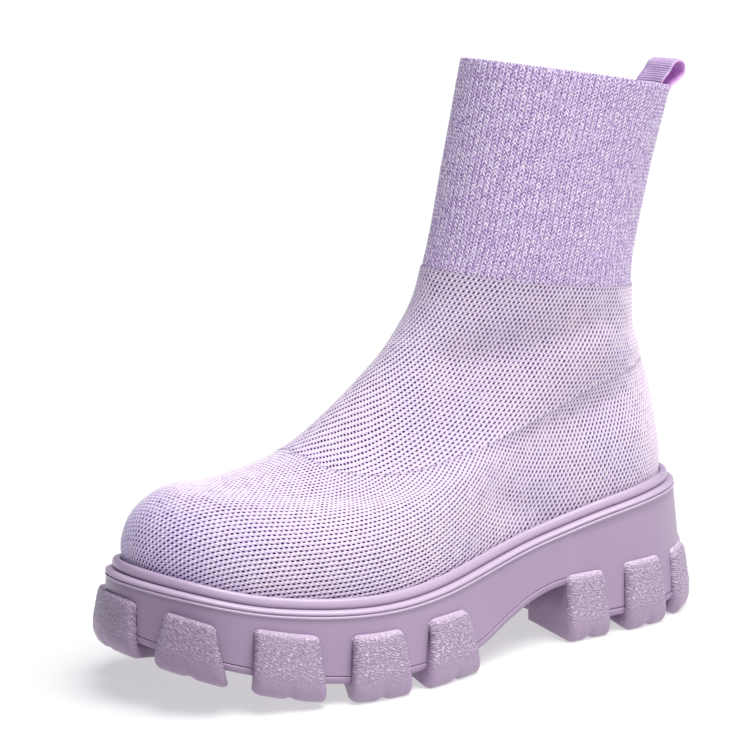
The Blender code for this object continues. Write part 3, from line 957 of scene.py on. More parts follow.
def knit_panel(name, low, high, level):
    """A closed plain panel of the knit, outer side, inner side and narrow edge, ready for its relief."""
    pattern = Pattern(low, high, level)
    flat, found, quads = lattice(pattern)
    edges = open_edges(quads)
    ring = np.unique(edges)
    near, _ = pattern.to_rim(flat[ring])
    flat[ring], found[ring] = near[:, :2], near[:, 2:]
    _, far = pattern.to_rim(flat)
    outer, normals = BODY.at(found[:, 0], found[:, 1])
    ring, spots, under, faces = lining(pattern, flat, edges)
    inner_way = np.concatenate([found[ring, 0], under[:, 0]])
    inner_place = np.concatenate([found[ring, 1], under[:, 1]])
    inner_points, inner_normals = BODY.at(inner_way, inner_place)
    inner = inner_points - inner_normals * WALL
    count = len(outer)
    fresh = np.full(count, -1)
    fresh[ring] = np.arange(len(ring)) + count
    walls = [(b, a, fresh[a], fresh[b]) for a, b in edges]
    back = shifted([face[::-1] for face in faces], count)
    piece = new_piece(
        name, np.vstack([outer, inner]), quads.tolist() + walls + back, np.vstack([flat, flat[ring], spots]),
        edge=np.concatenate([far, np.zeros(len(inner))]),
        seam=np.concatenate([near_join(found), np.zeros(len(inner))]),
        outer=np.concatenate([np.ones(count), np.zeros(len(inner))]),
        outward=np.vstack([normals, inner_normals]),
    )
    fix_normals(piece, PANEL_CRISP)
    return piece


def fix_normals(piece, crisp=None):
    """Turn every face of a closed piece outward, and keep edges crisp past an angle."""
    bm = bmesh.new()
    bm.from_mesh(piece.data)
    bmesh.ops.remove_doubles(bm, verts=bm.verts, dist=MERGE)
    bmesh.ops.dissolve_degenerate(bm, edges=bm.edges, dist=MERGE)
    bmesh.ops.recalc_face_normals(bm, faces=bm.faces)
    if crisp is not None:
        for edge in bm.edges:
            edge.smooth = edge.calc_face_angle(0.0) < crisp
    bm.to_mesh(piece.data)
    bm.free()


def plain_cuff():
    """The cuff as a closed plain sleeve with a rounded top edge, ready for its ribs."""
    turns = running(gaps(CUFF.points[-1]))
    collar = turns[-1]
    columns = int(round(collar / RIB_PITCH)) * RIB_COLUMNS
    rib_pitch = collar / columns * RIB_COLUMNS
    turn = np.linspace(0, collar, columns + 1)
    ways = np.interp(turn, turns, np.linspace(-1, 1, len(turns)))
    bottom = edge_place(ways) - CUFF_TUCK
    rows = int(round((LAST.top - bottom.mean()) / STITCH_PITCH)) * STITCH_ROWS + 1
    rings, outward, uv = [], [], []
    for share in np.concatenate([np.linspace(0, 1, rows), np.linspace(1, 0, CUFF_INNER_ROWS)]):
        place = bottom + (LAST.top - bottom) * share
        points, normals = CUFF.at(ways, place)
        deep = 0.0 if len(rings) < rows else WALL
        roll = CUFF_ROLL * (1 - ease((LAST.top - place) / CUFF_ROLL_REACH)) * (1 if deep == 0 else -1)
        rings.append(points - normals * (deep + roll)[:, None])
        outward.append(normals)
        uv.append(np.column_stack([turn, place]))
    across = columns + 1
    quads = grid_quads(across, len(rings)).tolist()
    last = (len(rings) - 1) * across
    quads += [(last + k, last + k + 1, k + 1, k) for k in range(columns)]
    outer = np.repeat(np.arange(len(rings)) < rows, across)
    flat = np.vstack(uv)
    piece = new_piece(
        "rib_cuff", np.vstack(rings), quads, flat, outer=outer, outward=np.vstack(outward),
        turn=flat[:, 0], rise=flat[:, 1], edge=LAST.top - flat[:, 1],
    )
    fix_normals(piece)
    return piece, rib_pitch


def ladder(first, count):
    """Faces across a ring of points, from the outer stations to the inner ones."""
    half = count // 2
    faces = [(first, first + 1, first + count - 1)]
    for j in range(1, half - 1):
        faces.append((first + j, first + j + 1, first + count - j - 1, first + count - j))
    faces.append((first + half - 1, first + half, first + half + 1))
    return faces


def loft(rings):
    """Points and faces of a closed solid through rings, its ends closed across."""
    count = len(rings[0])
    faces = grid_quads(count, len(rings), True).tolist()
    faces += ladder(0, count) + ladder((len(rings) - 1) * count, count)
    return np.vstack(rings), faces


def make_platform():
    """The platform: cup, two beads, fine line, flared wall, arch and heel breast."""
    y = stations(SOLE_STATIONS, HEEL_BREAST)
    rim = around(rim_height(y))
    rings = [sole_ring(y, out, rim + up) for out, up in zip(BEADS["out"], BEADS["up"])]
    low = around(plate_height(y, HEEL_BREAST) + PLATE_THICK + GAP)
    foot = sole_ring(y, WALL_FLARE * (rim - low), low)
    shoulder = rings[-1]
    for share in WALL_SHARES:
        rings.append(shoulder + (foot - shoulder) * share)
    points, faces = loft(rings)
    below = np.zeros(len(WALL_SHARES) - 1)
    # Each ring's share of the beads' painted light and of the grooves' painted shade
    pale = np.concatenate([BEADS["pale"], [0.0], below])
    groove = np.concatenate([BEADS["groove"], [UNDER_RIB_SHADE], below])
    piece = new_piece(
        "platform", points, faces, bead=np.repeat(pale, len(rim)), groove=np.repeat(groove, len(rim))
    )
    fix_normals(piece)
    return piece


def lug_places():
    """Centre of each lug along the outline, with its row of sizes."""
    inner_share = (SOLE.length - SOLE.heel_arc) / SOLE.heel_arc
    for rows, pitch, from_heel in ((FORE_LUGS, FORE_PITCH, False), (HEEL_LUGS, HEEL_PITCH, True)):
        for step, shift, *sizes in zip(*rows.values()):
            arc = SOLE.heel_arc - step * pitch if from_heel else step * pitch
            yield arc + shift, sizes
            if step:
                back = 0.0 if from_heel else INNER_SHIFT * (1 - step / rows["step"][-1])
                yield -(arc + back) * inner_share, sizes


def lug_columns():
    """Steps across a lug from -1 to 1 as straight share and rounding angle."""
    straight = [(s, 0.0) for s in np.linspace(-1, 1, LUG_COLUMNS)]
    angles = np.linspace(0, math.pi / 2, LUG_EDGE_ROWS + 1)[1:]
    left = [(-1.0, a) for a in angles[::-1]]
    right = [(1.0, a) for a in angles]
    return left + straight + right


class Lug:
    """One lug of the tread, as sections across it."""

    def __init__(self, centre, half_top, half_bottom, height, reach, inset, taper):
        self.centre = centre
        self.half_top, self.half_bottom = half_top, half_bottom
        self.height, self.reach = height, reach
        self.inset, self.taper = inset, taper

    def across(self, rise, share, angle):
        """Places across the lug at these shares of its height, drawn out round its ends."""
        half = self.half_bottom + (self.half_top - self.half_bottom) * rise - LUG_EDGE
        return share * half + math.copysign(LUG_EDGE * math.sin(angle), share)

    def root(self, across):
        """Share of the height at which the lug's root meets the plate over it."""
        y = SOLE.at([self.centre + across], 0.0)[:, 1]
        rise = (plate_height(y, HEEL_BREAST) + LUG_ROOT_SINK - ground(y)) / self.height
        return min(rise[0], LUG_ROOT_MOST)

    def face(self, across, draw):
        """The outer face from the floor up, notched at its foot."""
        out = np.maximum(smooth(LUG_FACE["rise"], LUG_FACE["out"], LUG_RISES) - self.inset, LUG_LEAST)
        notch = NOTCH_DEEP * np.exp(-(across / NOTCH_HALF) ** 2) * ease(1 - LUG_RISES / NOTCH_RISE)
        flat = SOLE.at(self.centre + across, out - draw - notch)
        level = draw * (1 - 2 * LUG_RISES) * LUG_CORNER + notch * NOTCH_LIFT * (1 - LUG_RISES)
        return np.column_stack([flat, ground(flat[:, 1]) + LUG_RISES * self.height + level])

    def tail(self, across, rise, draw):
        """The side towards the sole: down the wall, in along the plate and down to the floor."""
        out = np.array([0.0, 0.0, -LUG_ROOT_IN, draw - self.reach, LUG_SOLE_SLANT + draw - self.reach])
        spot = SOLE.at(self.centre + across, out)
        corner = draw * LUG_CORNER * np.array([-1, 0, 0, 0, 1])
        z = ground(spot[:, 1]) + rise * self.height + corner
        wall_out = WALL_FLARE * (rim_height(spot[:2, 1]) - z[:2]) + LUG_CLEAR
        spot[:2] = SOLE.at(self.centre + across[:2], wall_out)
        return np.column_stack([spot, z])

    def section(self, share, angle):
        """One section's points, drawn in towards the rounded ends, with its places, grain and the painted
        highlight of its top marked.
        """
        draw = LUG_EDGE * (1 - math.cos(angle))
        across = self.across(LUG_RISES, share, angle)
        root = self.root(across.mean())
        tail_rise = np.array([1.0, root + LUG_ROOT_LIP, root, root, LUG_SOLE_RISE])
        tail_across = self.across(tail_rise, share, angle)
        tail_across[3:] *= self.taper
        points = np.vstack([self.face(across, draw), self.tail(tail_across, tail_rise, draw)])
        grain = GRAIN_LOW + (1 - GRAIN_LOW) * fade(LUG_RISES, GRAIN_FROM, GRAIN_FULL)
        grain = np.append(grain * (LUG_RISES < 1), np.zeros(len(tail_rise)))
        rise = np.append(LUG_RISES, tail_rise)
        # Share of the painted highlight along the lug's top
        top = fade(rise, TOP_HIGHLIGHT_FROM, 1.0)
        return points, np.column_stack([np.append(across, tail_across), rise * self.height, grain, top])


def make_lugs():
    """Points, faces and marked places of all the lugs."""
    points, faces, marks = [], [], []
    start = 0
    for number, (centre, sizes) in enumerate(lug_places()):
        lug = Lug(centre, *sizes)
        sections = [lug.section(share, angle) for share, angle in lug_columns()]
        count = len(sections[0][0])
        faces += shifted(tube(count, len(sections)), start)
        points += [spots for spots, _ in sections]
        marks += [places + (number * LUG_APART, 0, 0, 0) for _, places in sections]
        start += count * len(sections)
    return np.vstack(points), faces, np.vstack(marks)


def plate_rings():
    """Rings of the tread plate, which stands a little proud of the wall."""
    rings = []
    for lift, out in zip(*PLATE_EDGE.values()):
        breast = HEEL_BREAST - GAP - PLATE_THICK + lift
        y = stations(SOLE_STATIONS, breast)
        height = around(plate_height(y, breast) + lift)
        flare = WALL_FLARE * (around(rim_height(y)) - height)
        rings.append(sole_ring(y, flare + out, height))
    return rings


def plain_tread():
    """The tread: a thin plate with the lugs that climb the wall, ready for their grain."""
    plate, plate_faces = loft(plate_rings())
    lugs, lug_faces, places = make_lugs()
    faces = plate_faces + shifted(lug_faces, len(plate))
    marks = np.vstack([np.zeros((len(plate), 4)), places])
    piece = new_piece(
        "tread", np.vstack([plate, lugs]), faces,
        lug_across=marks[:, 0], lug_up=marks[:, 1], grain=marks[:, 2], lug_top=marks[:, 3],
    )
    fix_normals(piece)
    return piece


def tape_path():
    """The tape's centre line and its flatness, from the tail up and round the loop."""
    spans = np.linspace(LAST.edge.min(), LAST.top, TAIL_SEARCH)
    backs = np.array([LAST.back(place) for place in spans])
    tail = np.interp(TAPE_TAIL_Z, backs[:, 2], spans)
    top = LAST.back(LAST.top)
    up = unit(top - LAST.back(LAST.top - COLLAR_REACH))
    outward = np.array([0.0, up[2], -up[1]])
    rows = []
    for place in np.linspace(tail, LAST.top + LOOP["up"][0], TAIL_STEPS, endpoint=False):
        rows.append(np.append(LAST.back(place) + outward * LOOP["out"][0], 1.0))
    for out, rise in trace(LOOP, LOOP_STEPS):
        flat = 1.0 - LOOP_FLATTEN * np.interp(rise, LOOP_FLATTEN_UP, (0.0, 1.0))
        rows.append(np.append(top + outward * out + up * rise, flat))
    return np.array(rows)


class Tape:
    """The pull loop's tape, read by its run from the tail and its place across."""

    def __init__(self):
        path = tape_path()
        runs = running(gaps(path[:, :3]))
        self.count = int(runs[-1] / TAPE_RIB * TAPE_RIB_ROWS)
        self.run = np.linspace(0, runs[-1], self.count)
        rows = straight(runs, path, self.run)
        self.centre, self.flat = rows[:, :3], rows[:, 3]
        along = unit(np.gradient(self.centre, axis=0))
        self.normal = np.column_stack([np.zeros(self.count), along[:, 2], -along[:, 1]])
        section = LAST.section(LAST.top)
        depth = (section["back_y"] - section["front_y"]) / 2
        self.bow = depth * (1 - math.sqrt(1 - (TAPE_WIDTH / 2 / section["half_back"]) ** 2))

    def strip(self, across, side):
        """One line of points along the tape's outer or inner face."""
        edge = TAPE_THICK / 2 * (1 - TAPE_EDGE_THIN * fade(abs(across), TAPE_EDGE_FROM, 1.0))
        bow = -self.bow * self.flat * across**2
        shift = np.column_stack([np.full(self.count, TAPE_WIDTH / 2 * across), bow, np.zeros(self.count)])
        return self.centre + shift + self.normal * side * edge

    def seam_point(self, run, across):
        """A point on the outer face."""
        return straight(self.run, self.strip(across, 1.0), run)


def plain_tape(tape):
    """The tape as a closed plain strip, bent across its width where it lies on the cuff."""
    across = np.linspace(-1, 1, TAPE_COLUMNS + 1)
    strips, outward = [], []
    for side in (1.0, -1.0):
        for a in across[::int(side)]:
            strips.append(tape.strip(a, side))
            outward.append(tape.normal * side)
    columns = len(strips)
    inside = np.tile(np.arange(columns) > TAPE_COLUMNS, tape.count)
    piece = new_piece(
        "pull_loop_tape", np.stack(strips, axis=1).reshape(-1, 3), tube(columns, tape.count),
        run=np.repeat(tape.run, columns), inside=inside, outward=np.stack(outward, axis=1).reshape(-1, 3),
    )
    fix_normals(piece)
    return piece


def seam_path(tape):
    """The line of stitches that holds the tape's tail: down one side, across and up the other."""
    down = [(run, -SEAM_ACROSS) for run in np.linspace(SEAM_HIGH, SEAM_LOW, SEAM_SIDE_POINTS)]
    over = [(SEAM_LOW, a) for a in np.linspace(-SEAM_ACROSS, SEAM_ACROSS, SEAM_CROSS_POINTS)[1:-1]]
    back = [(run, SEAM_ACROSS) for run in np.linspace(SEAM_LOW, SEAM_HIGH, SEAM_SIDE_POINTS)]
    spots = [tape.seam_point(run, a) for run, a in down + over + back]
    mesh = bpy.data.meshes.new("pull_loop_stitches")
    points = (np.array(spots) + CENTRE) * MM
    mesh.from_pydata(points.tolist(), [(k, k + 1) for k in range(len(points) - 1)], [])
    return new_object("pull_loop_stitches", mesh)


class Nodes:
    """A node tree, grown one node at a time."""

    def __init__(self, tree):
        self.tree = tree

    def node(self, kind, settings=(), **inputs):
        """A node with its settings, fed with values or other nodes' outputs."""
        made = self.tree.nodes.new(kind)
        for key, value in dict(settings).items():
            setattr(made, key, value)
        for key, value in inputs.items():
            self.feed(made.inputs[int(key[1:]) if key[1:].isdigit() else key.replace("_", " ")], value)
        return made

    def feed(self, socket, value):
        """A value set on a socket, or an output linked into it."""
        if isinstance(value, bpy.types.NodeSocket):
            self.tree.links.new(value, socket)
        else:
            socket.default_value = value

    def math(self, operation, a, b=0.0, c=0.0):
        """One of the plain sums on values."""
        return self.node("ShaderNodeMath", {"operation": operation}, i0=a, i1=b, i2=c).outputs[0]

    def times(self, a, b):
        """Two values multiplied."""
        return self.math("MULTIPLY", a, b)

    def per(self, a, b):
        """One value divided by another."""
        return self.math("DIVIDE", a, b)

    def plus(self, a, b):
        """Two values added."""
        return self.math("ADD", a, b)

    def less(self, a, b):
        """One value with another taken away."""
        return self.math("SUBTRACT", a, b)

    def stray(self, chance, reach):
        """A random value from 0 to 1 as a shift to either side."""
        return self.times(self.less(chance, 0.5), reach)

    def wave(self, turns):
        """A soft wave from 0 at each whole turn to 1 half way between."""
        swing = self.math("COSINE", self.times(turns, 2 * math.pi))
        return self.math("MULTIPLY_ADD", swing, -0.5, 0.5)

    def step(self, value, low, high):
        """A soft step from 0 to 1 between two values."""
        settings = {"interpolation_type": "SMOOTHSTEP"}
        return self.node("ShaderNodeMapRange", settings, i0=value, i1=low, i2=high).outputs[0]

    def noise(self, place, scale, detail=3.0, roughness=0.5):
        """Soft random values over a place."""
        return self.node(
            "ShaderNodeTexNoise", Vector=place, Scale=scale, Detail=detail, Roughness=roughness
        ).outputs[0]

    def strands(self, across, up, pitch, row):
        """Heights of the knit's two slanted sets of strands at a flat place."""
        column = self.per(across, pitch)
        half_row = self.per(up, self.times(row, 2.0))
        under = self.wave(self.plus(column, half_row))
        over = self.wave(self.less(column, half_row))
        return under, over

    def meshes(self, across, up):
        """The knit's small meshes at a flat place: 1 at a hole's middle, -1 on the strand beside it."""
        column = self.per(across, HOLE_PITCH)
        row = self.per(up, HOLE_ROW)
        sway = self.math("SINE", self.times(row, 2 * math.pi))
        column = self.math("MULTIPLY_ADD", sway, -STRAND_LEAN / (2 * math.pi), column)
        side = self.math("COSINE", self.times(column, 2 * math.pi))
        level = self.math("COSINE", self.times(row, math.pi))
        return self.times(side, self.times(level, self.math("ABSOLUTE", level)))

    def chance(self, column, row):
        """One random value for each whole column and row."""
        whole = self.node("ShaderNodeCombineXYZ", X=self.math("FLOOR", column), Y=self.math("FLOOR", row))
        settings = {"noise_dimensions": "2D"}
        return self.node("ShaderNodeTexWhiteNoise", settings, Vector=whole.outputs[0]).outputs["Value"]

    def stitches(self, turn, rise, rib, stitch):
        """The cuff's ribs of slanted stitch legs: height of the rib, and of the legs on it."""
        wale = self.math("FRACT", self.per(turn, rib))
        rib_height = self.less(1.0, self.wave(wale))
        leg = self.math("ABSOLUTE", self.less(wale, 0.5))
        course = self.math("MULTIPLY_ADD", leg, -LEG_LEAN, self.per(rise, stitch))
        middle = self.wave(self.times(wale, 2.0))
        legs = self.times(self.wave(course), self.math("MULTIPLY_ADD", middle, LEG_SWELL, 1 - LEG_SWELL))
        tight = self.chance(self.per(turn, self.per(rib, 2.0)), course)
        return rib_height, self.times(legs, self.math("MULTIPLY_ADD", tight, LEG_UNEVEN, LEG_UNEVEN))


class Relief(Nodes):
    """A geometry tree with named sizes that works on a piece's plain mesh."""

    def __init__(self, name, *sizes):
        super().__init__(bpy.data.node_groups.new(name, "GeometryNodeTree"))
        self.tree.interface.new_socket("Geometry", in_out="OUTPUT", socket_type="NodeSocketGeometry")
        self.keys = {}
        for label, kind in [("Geometry", "Geometry"), *((s, "Float") for s in sizes), ("Finish", "Material")]:
            socket = self.tree.interface.new_socket(label, in_out="INPUT", socket_type="NodeSocket" + kind)
            self.keys[label] = socket.identifier
        self.given = self.node("NodeGroupInput").outputs

    def size(self, label):
        """One of the named sizes."""
        return self.given[label]

    def mark(self, name, kind="FLOAT"):
        """A value marked on the piece's points."""
        settings = {"data_type": kind}
        return self.node("GeometryNodeInputNamedAttribute", settings, Name=name).outputs["Attribute"]

    def end_moved(self, direction, distance):
        """Move the piece's points along a direction by a distance in millimetres, and end there."""
        metres = self.times(distance, MM)
        offset = self.node("ShaderNodeVectorMath", {"operation": "SCALE"}, Vector=direction, Scale=metres)
        plain = self.given["Geometry"]
        moved = self.node("GeometryNodeSetPosition", Geometry=plain, Offset=offset.outputs[0])
        self.end(moved.outputs[0])

    def end(self, geometry):
        """Make the instances real and give the piece its finish."""
        whole = self.node("GeometryNodeRealizeInstances", Geometry=geometry)
        finish = self.given["Finish"]
        dressed = self.node("GeometryNodeSetMaterial", Geometry=whole.outputs[0], Material=finish)
        self.node("NodeGroupOutput", Geometry=dressed.outputs[0])

    def run(self, piece, **values):
        """Give a piece the tree's result as its plain mesh."""
        modifier = piece.modifiers.new(self.tree.name, "NODES")
        modifier.node_group = self.tree
        for label, value in values.items():
            modifier[self.keys[label.replace("_", " ")]] = value
        graph = bpy.context.evaluated_depsgraph_get()
        mesh = bpy.data.meshes.new_from_object(
            piece.evaluated_get(graph), preserve_all_data_layers=True, depsgraph=graph
        )
        mesh.name = piece.name
        piece.modifiers.clear()
        piece.data = mesh
        return piece


def knit_relief():
    """Holes between the knit's crossed strands, fading out at a panel's edge."""
    r = Relief("knit_holes", "Hole pitch", "Hole row", "Hole depth", "Edge fade", "Edge dip")
    place = r.node("ShaderNodeSeparateXYZ", Vector=r.mark("flat", "FLOAT_VECTOR")).outputs
    under, over = r.strands(place["X"], place["Y"], r.size("Hole pitch"), r.size("Hole row"))
    height = r.math("MULTIPLY_ADD", under, UNDER_SHARE, r.math("MULTIPLY_ADD", over, 1 - UNDER_SHARE, -1.0))
    keep = r.step(r.mark("edge"), 0.0, r.size("Edge fade"))
    pit = r.times(r.times(height, r.size("Hole depth")), keep)
    dip = r.times(r.less(keep, 1.0), r.size("Edge dip"))
    shift = r.times(r.plus(pit, dip), r.mark("outer"))
    r.end_moved(r.mark("outward", "FLOAT_VECTOR"), shift)
    return r


def cuff_relief():
    """Ribs and slanted stitches of the cuff, fading out at its top edge."""
    r = Relief("cuff_ribs", "Rib pitch", "Rib depth", "Stitch pitch", "Stitch depth", "Edge fade")
    ribs, legs = r.stitches(r.mark("turn"), r.mark("rise"), r.size("Rib pitch"), r.size("Stitch pitch"))
    keep = r.step(r.mark("edge"), 0.0, r.size("Edge fade"))
    rib = r.times(r.less(ribs, 1.0), r.size("Rib depth"))
    stitch = r.times(r.times(r.less(legs, 1.0), r.size("Stitch depth")), keep)
    shift = r.times(r.plus(rib, stitch), r.mark("outer"))
    r.end_moved(r.mark("outward", "FLOAT_VECTOR"), shift)
    return r


def tape_relief():
    """Cross ribs along the webbing tape."""
    r = Relief("tape_ribs", "Rib pitch", "Rib depth")
    groove = r.wave(r.per(r.mark("run"), r.size("Rib pitch")))
    shift = r.times(r.times(groove, r.size("Rib depth")), -1.0)
    r.end_moved(r.mark("outward", "FLOAT_VECTOR"), shift)
    return r


def slanted(nodes, across, up, lean, length, width):
    """A flat place turned along the grain and counted in grains."""
    cosine, sine = math.cos(lean), math.sin(lean)
    along = nodes.math("MULTIPLY_ADD", across, cosine, nodes.times(up, sine))
    aside = nodes.math("MULTIPLY_ADD", across, -sine, nodes.times(up, cosine))
    x = nodes.per(along, length)
    y = nodes.per(aside, width)
    return nodes.node("ShaderNodeCombineXYZ", X=x, Y=y).outputs[0]


def grain_relief():
    """Slanted pebble grain on the lugs' faces."""
    r = Relief("lug_grain", "Grain length", "Grain width", "Grain depth")
    place = slanted(
        r, r.mark("lug_across"), r.mark("lug_up"), GRAIN_LEAN, r.size("Grain length"), r.size("Grain width")
    )
    pebble = r.noise(place, 1.0, 2.0)
    height = r.stray(pebble, r.times(r.size("Grain depth"), 2.0))
    shift = r.times(height, r.mark("grain"))
    r.end_moved(r.node("GeometryNodeInputNormal").outputs[0], shift)
    return r


def seam_stitches():
    """Short threads laid end to end along a sewn line."""
    r = Relief("seam_stitches", "Stitch pitch", "Stitch length", "Thread width")
    line = r.node("GeometryNodeMeshToCurve", Mesh=r.given["Geometry"]).outputs[0]
    pitch = r.times(r.size("Stitch pitch"), MM)
    spots = r.node("GeometryNodeCurveToPoints", {"mode": "LENGTH"}, Curve=line, Length=pitch).outputs
    thread = r.node("GeometryNodeMeshUVSphere", Segments=8, Rings=6, Radius=0.5 * MM).outputs[0]
    long, wide = r.size("Stitch length"), r.size("Thread width")
    shape = r.node("ShaderNodeCombineXYZ", X=long, Y=wide, Z=wide).outputs[0]
    tangent = spots["Tangent"]
    turned = r.node("FunctionNodeAlignRotationToVector", {"axis": "X"}, Vector=tangent).outputs[0]
    laid = r.node(
        "GeometryNodeInstanceOnPoints", Points=spots[0], Instance=thread, Rotation=turned, Scale=shape
    )
    r.end(r.node("GeometryNodeSetShadeSmooth", Geometry=laid.outputs[0]).outputs[0])
    return r


class Finish(Nodes):
    """A material's node tree, with its main shader."""

    def __init__(self, name):
        self.material = bpy.data.materials.new(name)
        self.material.use_nodes = True
        super().__init__(self.material.node_tree)
        self.shader = self.tree.nodes["Principled BSDF"]

    def mark(self, name):
        """A value marked on the piece's points."""
        return self.node("ShaderNodeAttribute", {"attribute_name": name}).outputs["Fac"]

    def place(self):
        """The place on the piece, in metres."""
        return self.node("ShaderNodeTexCoord").outputs["Object"]

    def flat(self):
        """The flat place on a knit panel, in millimetres, across and up."""
        spot = self.node("ShaderNodeUVMap", {"uv_map": "flat"}).outputs[0]
        split = self.node("ShaderNodeSeparateXYZ", Vector=spot).outputs
        return split["X"], split["Y"]

    def ramp(self, factor, *stops):
        """Colours blended along a value."""
        made = self.node("ShaderNodeValToRGB", Fac=factor)
        band = made.color_ramp
        while len(band.elements) < len(stops):
            band.elements.new(0.5)
        for element, (at, colour) in zip(band.elements, stops):
            element.position = at
            element.color = linear(colour)
        return made.outputs["Color"]

    def mottle(self, factor, colours, ends=MOTTLE):
        """Two colours blended along a random value."""
        return self.ramp(factor, *zip(ends, colours))

    def blend(self, factor, under, over):
        """A made colour or a screen colour laid over a made colour by a value."""
        if isinstance(over, tuple):
            over = linear(over)
        return self.node("ShaderNodeMixRGB", Fac=factor, Color1=under, Color2=over).outputs[0]

    def bump(self, height, distance, strength=1.0):
        """A fine relief that is only shaded."""
        return self.node("ShaderNodeBump", Height=height, Strength=strength, Distance=distance).outputs[0]

    def set(self, **sockets):
        """Sockets of the main shader, by name."""
        for key, value in sockets.items():
            self.feed(self.shader.inputs[key.replace("_", " ")], value)


def linear(colour):
    """Screen colour in 0 to 255 as linear light."""
    c = np.asarray(colour, float) / 255
    return (*np.where(c <= 0.04045, c / 12.92, ((c + 0.055) / 1.055) ** 2.4), 1.0)


def painted_toe_shade(f, place, colour, most, shade=RUBBER_PAINTED_SHADE):
    """A colour with painted shade that deepens it a little towards the toe."""
    y = f.node("ShaderNodeSeparateXYZ", Vector=place).outputs["Y"]
    share = f.step(f.times(y, -1.0 / MM), PAINTED_SHADE_FROM, SOLE_LENGTH / 2)
    return f.blend(f.times(share, most), colour, shade)


def knit_finish():
    """Pale lilac yarn in crossed strands, with painted shade in the holes and a painted highlight on the
    strands, plain on the inner side.
    """
    f = Finish("mesh_knit_lilac")
    place = f.place()
    across, up = f.flat()
    outer = f.mark("outer")
    cloud = f.noise(place, *KNIT_CLOUD)
    yarn = f.noise(place, *KNIT_YARN)
    drift = f.noise(place, *KNIT_DRIFT)
    patch = f.stray(f.noise(place, *KNIT_PATCH), KNIT_PATCHY)
    ragged = f.stray(yarn, KNIT_RAGGED)
    mesh = f.meshes(f.plus(across, f.stray(drift, KNIT_DRIFTING)), up)
    # Painted shade in the holes and a painted highlight on the raised strands
    hole = f.step(f.plus(mesh, f.plus(ragged, patch)), *KNIT_HOLE_SPAN)
    strand = f.times(f.step(f.less(ragged, mesh), *KNIT_STRAND_SPAN), outer)
    tint = f.mottle(cloud, KNIT_TINTS, KNIT_MOTTLE)
    wool = f.blend(KNIT_FLECK_SHARE, tint, f.mottle(yarn, KNIT_FLECKS))
    lit = f.blend(strand, wool, KNIT_STRAND_HIGHLIGHT)
    # Painted shade towards the toe
    lit = painted_toe_shade(f, place, lit, KNIT_PAINTED_SHADE_MOST, KNIT_PAINTED_SHADE)
    seam = f.times(f.mark("seam"), KNIT_SEAM_SHARE)
    dark = f.times(f.math("MAXIMUM", hole, seam), outer)
    height = f.math("MULTIPLY_ADD", yarn, KNIT_YARN_HEIGHT, strand)
    f.set(
        Base_Color=f.blend(dark, lit, KNIT_HOLE_SHADE), Roughness=0.85, Specular_IOR_Level=0.25,
        Sheen_Weight=0.05, Normal=f.bump(height, 0.00025, 0.5),
    )
    return f.material


def rib_finish(rib_pitch):
    """Denser lilac yarn in fine ribs of slanted stitches, running from painted shade between the stitch legs
    to a painted highlight on them, with painted shade in the rib valleys.
    """
    f = Finish("rib_knit_lilac")
    place = f.place()
    turn, rise = f.flat()
    yarn = f.noise(place, *CUFF_FUZZ)
    tuft = f.noise(place, *CUFF_TUFT)
    drift = f.noise(place, *CUFF_DRIFT)
    sway = f.noise(place, *CUFF_SWAY)
    rise = f.plus(rise, f.stray(drift, CUFF_DRIFTING))
    turn = f.plus(turn, f.stray(sway, CUFF_SWAYING))
    ribs, legs = f.stitches(turn, rise, rib_pitch, STITCH_PITCH)
    ragged = f.plus(f.stray(yarn, CUFF_RAGGED), f.stray(tuft, CUFF_TUFTED))
    strand = f.step(f.plus(legs, ragged), *CUFF_STRAND_SPAN)
    # Painted shade in the rib valleys, and the yarn ramp from painted shade to painted highlight
    valley_shade = f.math("POWER", f.less(1.0, ribs), 2.0)
    low = f.times(f.times(valley_shade, CUFF_VALLEY_SHADE_SHARE), f.mark("outer"))
    f.set(
        Base_Color=f.blend(low, f.ramp(strand, *CUFF_YARN_PAINTED_LIGHT), CUFF_VALLEY_SHADE), Roughness=0.85,
        Specular_IOR_Level=0.25, Sheen_Weight=0.1, Normal=f.bump(strand, 0.0003, 0.5),
    )
    return f.material


def platform_finish():
    """Satin moulded rubber in mauve, painted paler on the beads as painted light, with painted shade in the
    grooves.
    """
    f = Finish("satin_rubber_mauve")
    place = f.place()
    cloud = f.noise(place, *RUBBER_CLOUD)
    fine = f.noise(place, *RUBBER_FINE)
    # Paler rubber on the beads as painted light
    bead = f.mark("bead")
    # Painted shade towards the toe, weaker on the beads
    wall = painted_toe_shade(f, place, f.mottle(cloud, WALL_RUBBER), RUBBER_PAINTED_SHADE_MOST)
    rim = painted_toe_shade(f, place, f.mottle(cloud, BEAD_RUBBER_PAINTED_LIGHT), BEAD_PAINTED_SHADE_MOST)
    # Painted shade in the grooves between the beads and under the fine rib
    groove = f.times(f.mark("groove"), GROOVE_SHADE_SHARE)
    colour = f.blend(groove, f.blend(bead, wall, rim), BEAD_GROOVE_SHADE)
    f.set(
        Base_Color=colour, Roughness=f.math("MULTIPLY_ADD", fine, 0.12, 0.40),
        Coat_Weight=f.math("MULTIPLY_ADD", bead, 0.2, 0.30), Coat_Roughness=0.25,
        Normal=f.bump(fine, 0.0002, 0.10),
    )
    return f.material


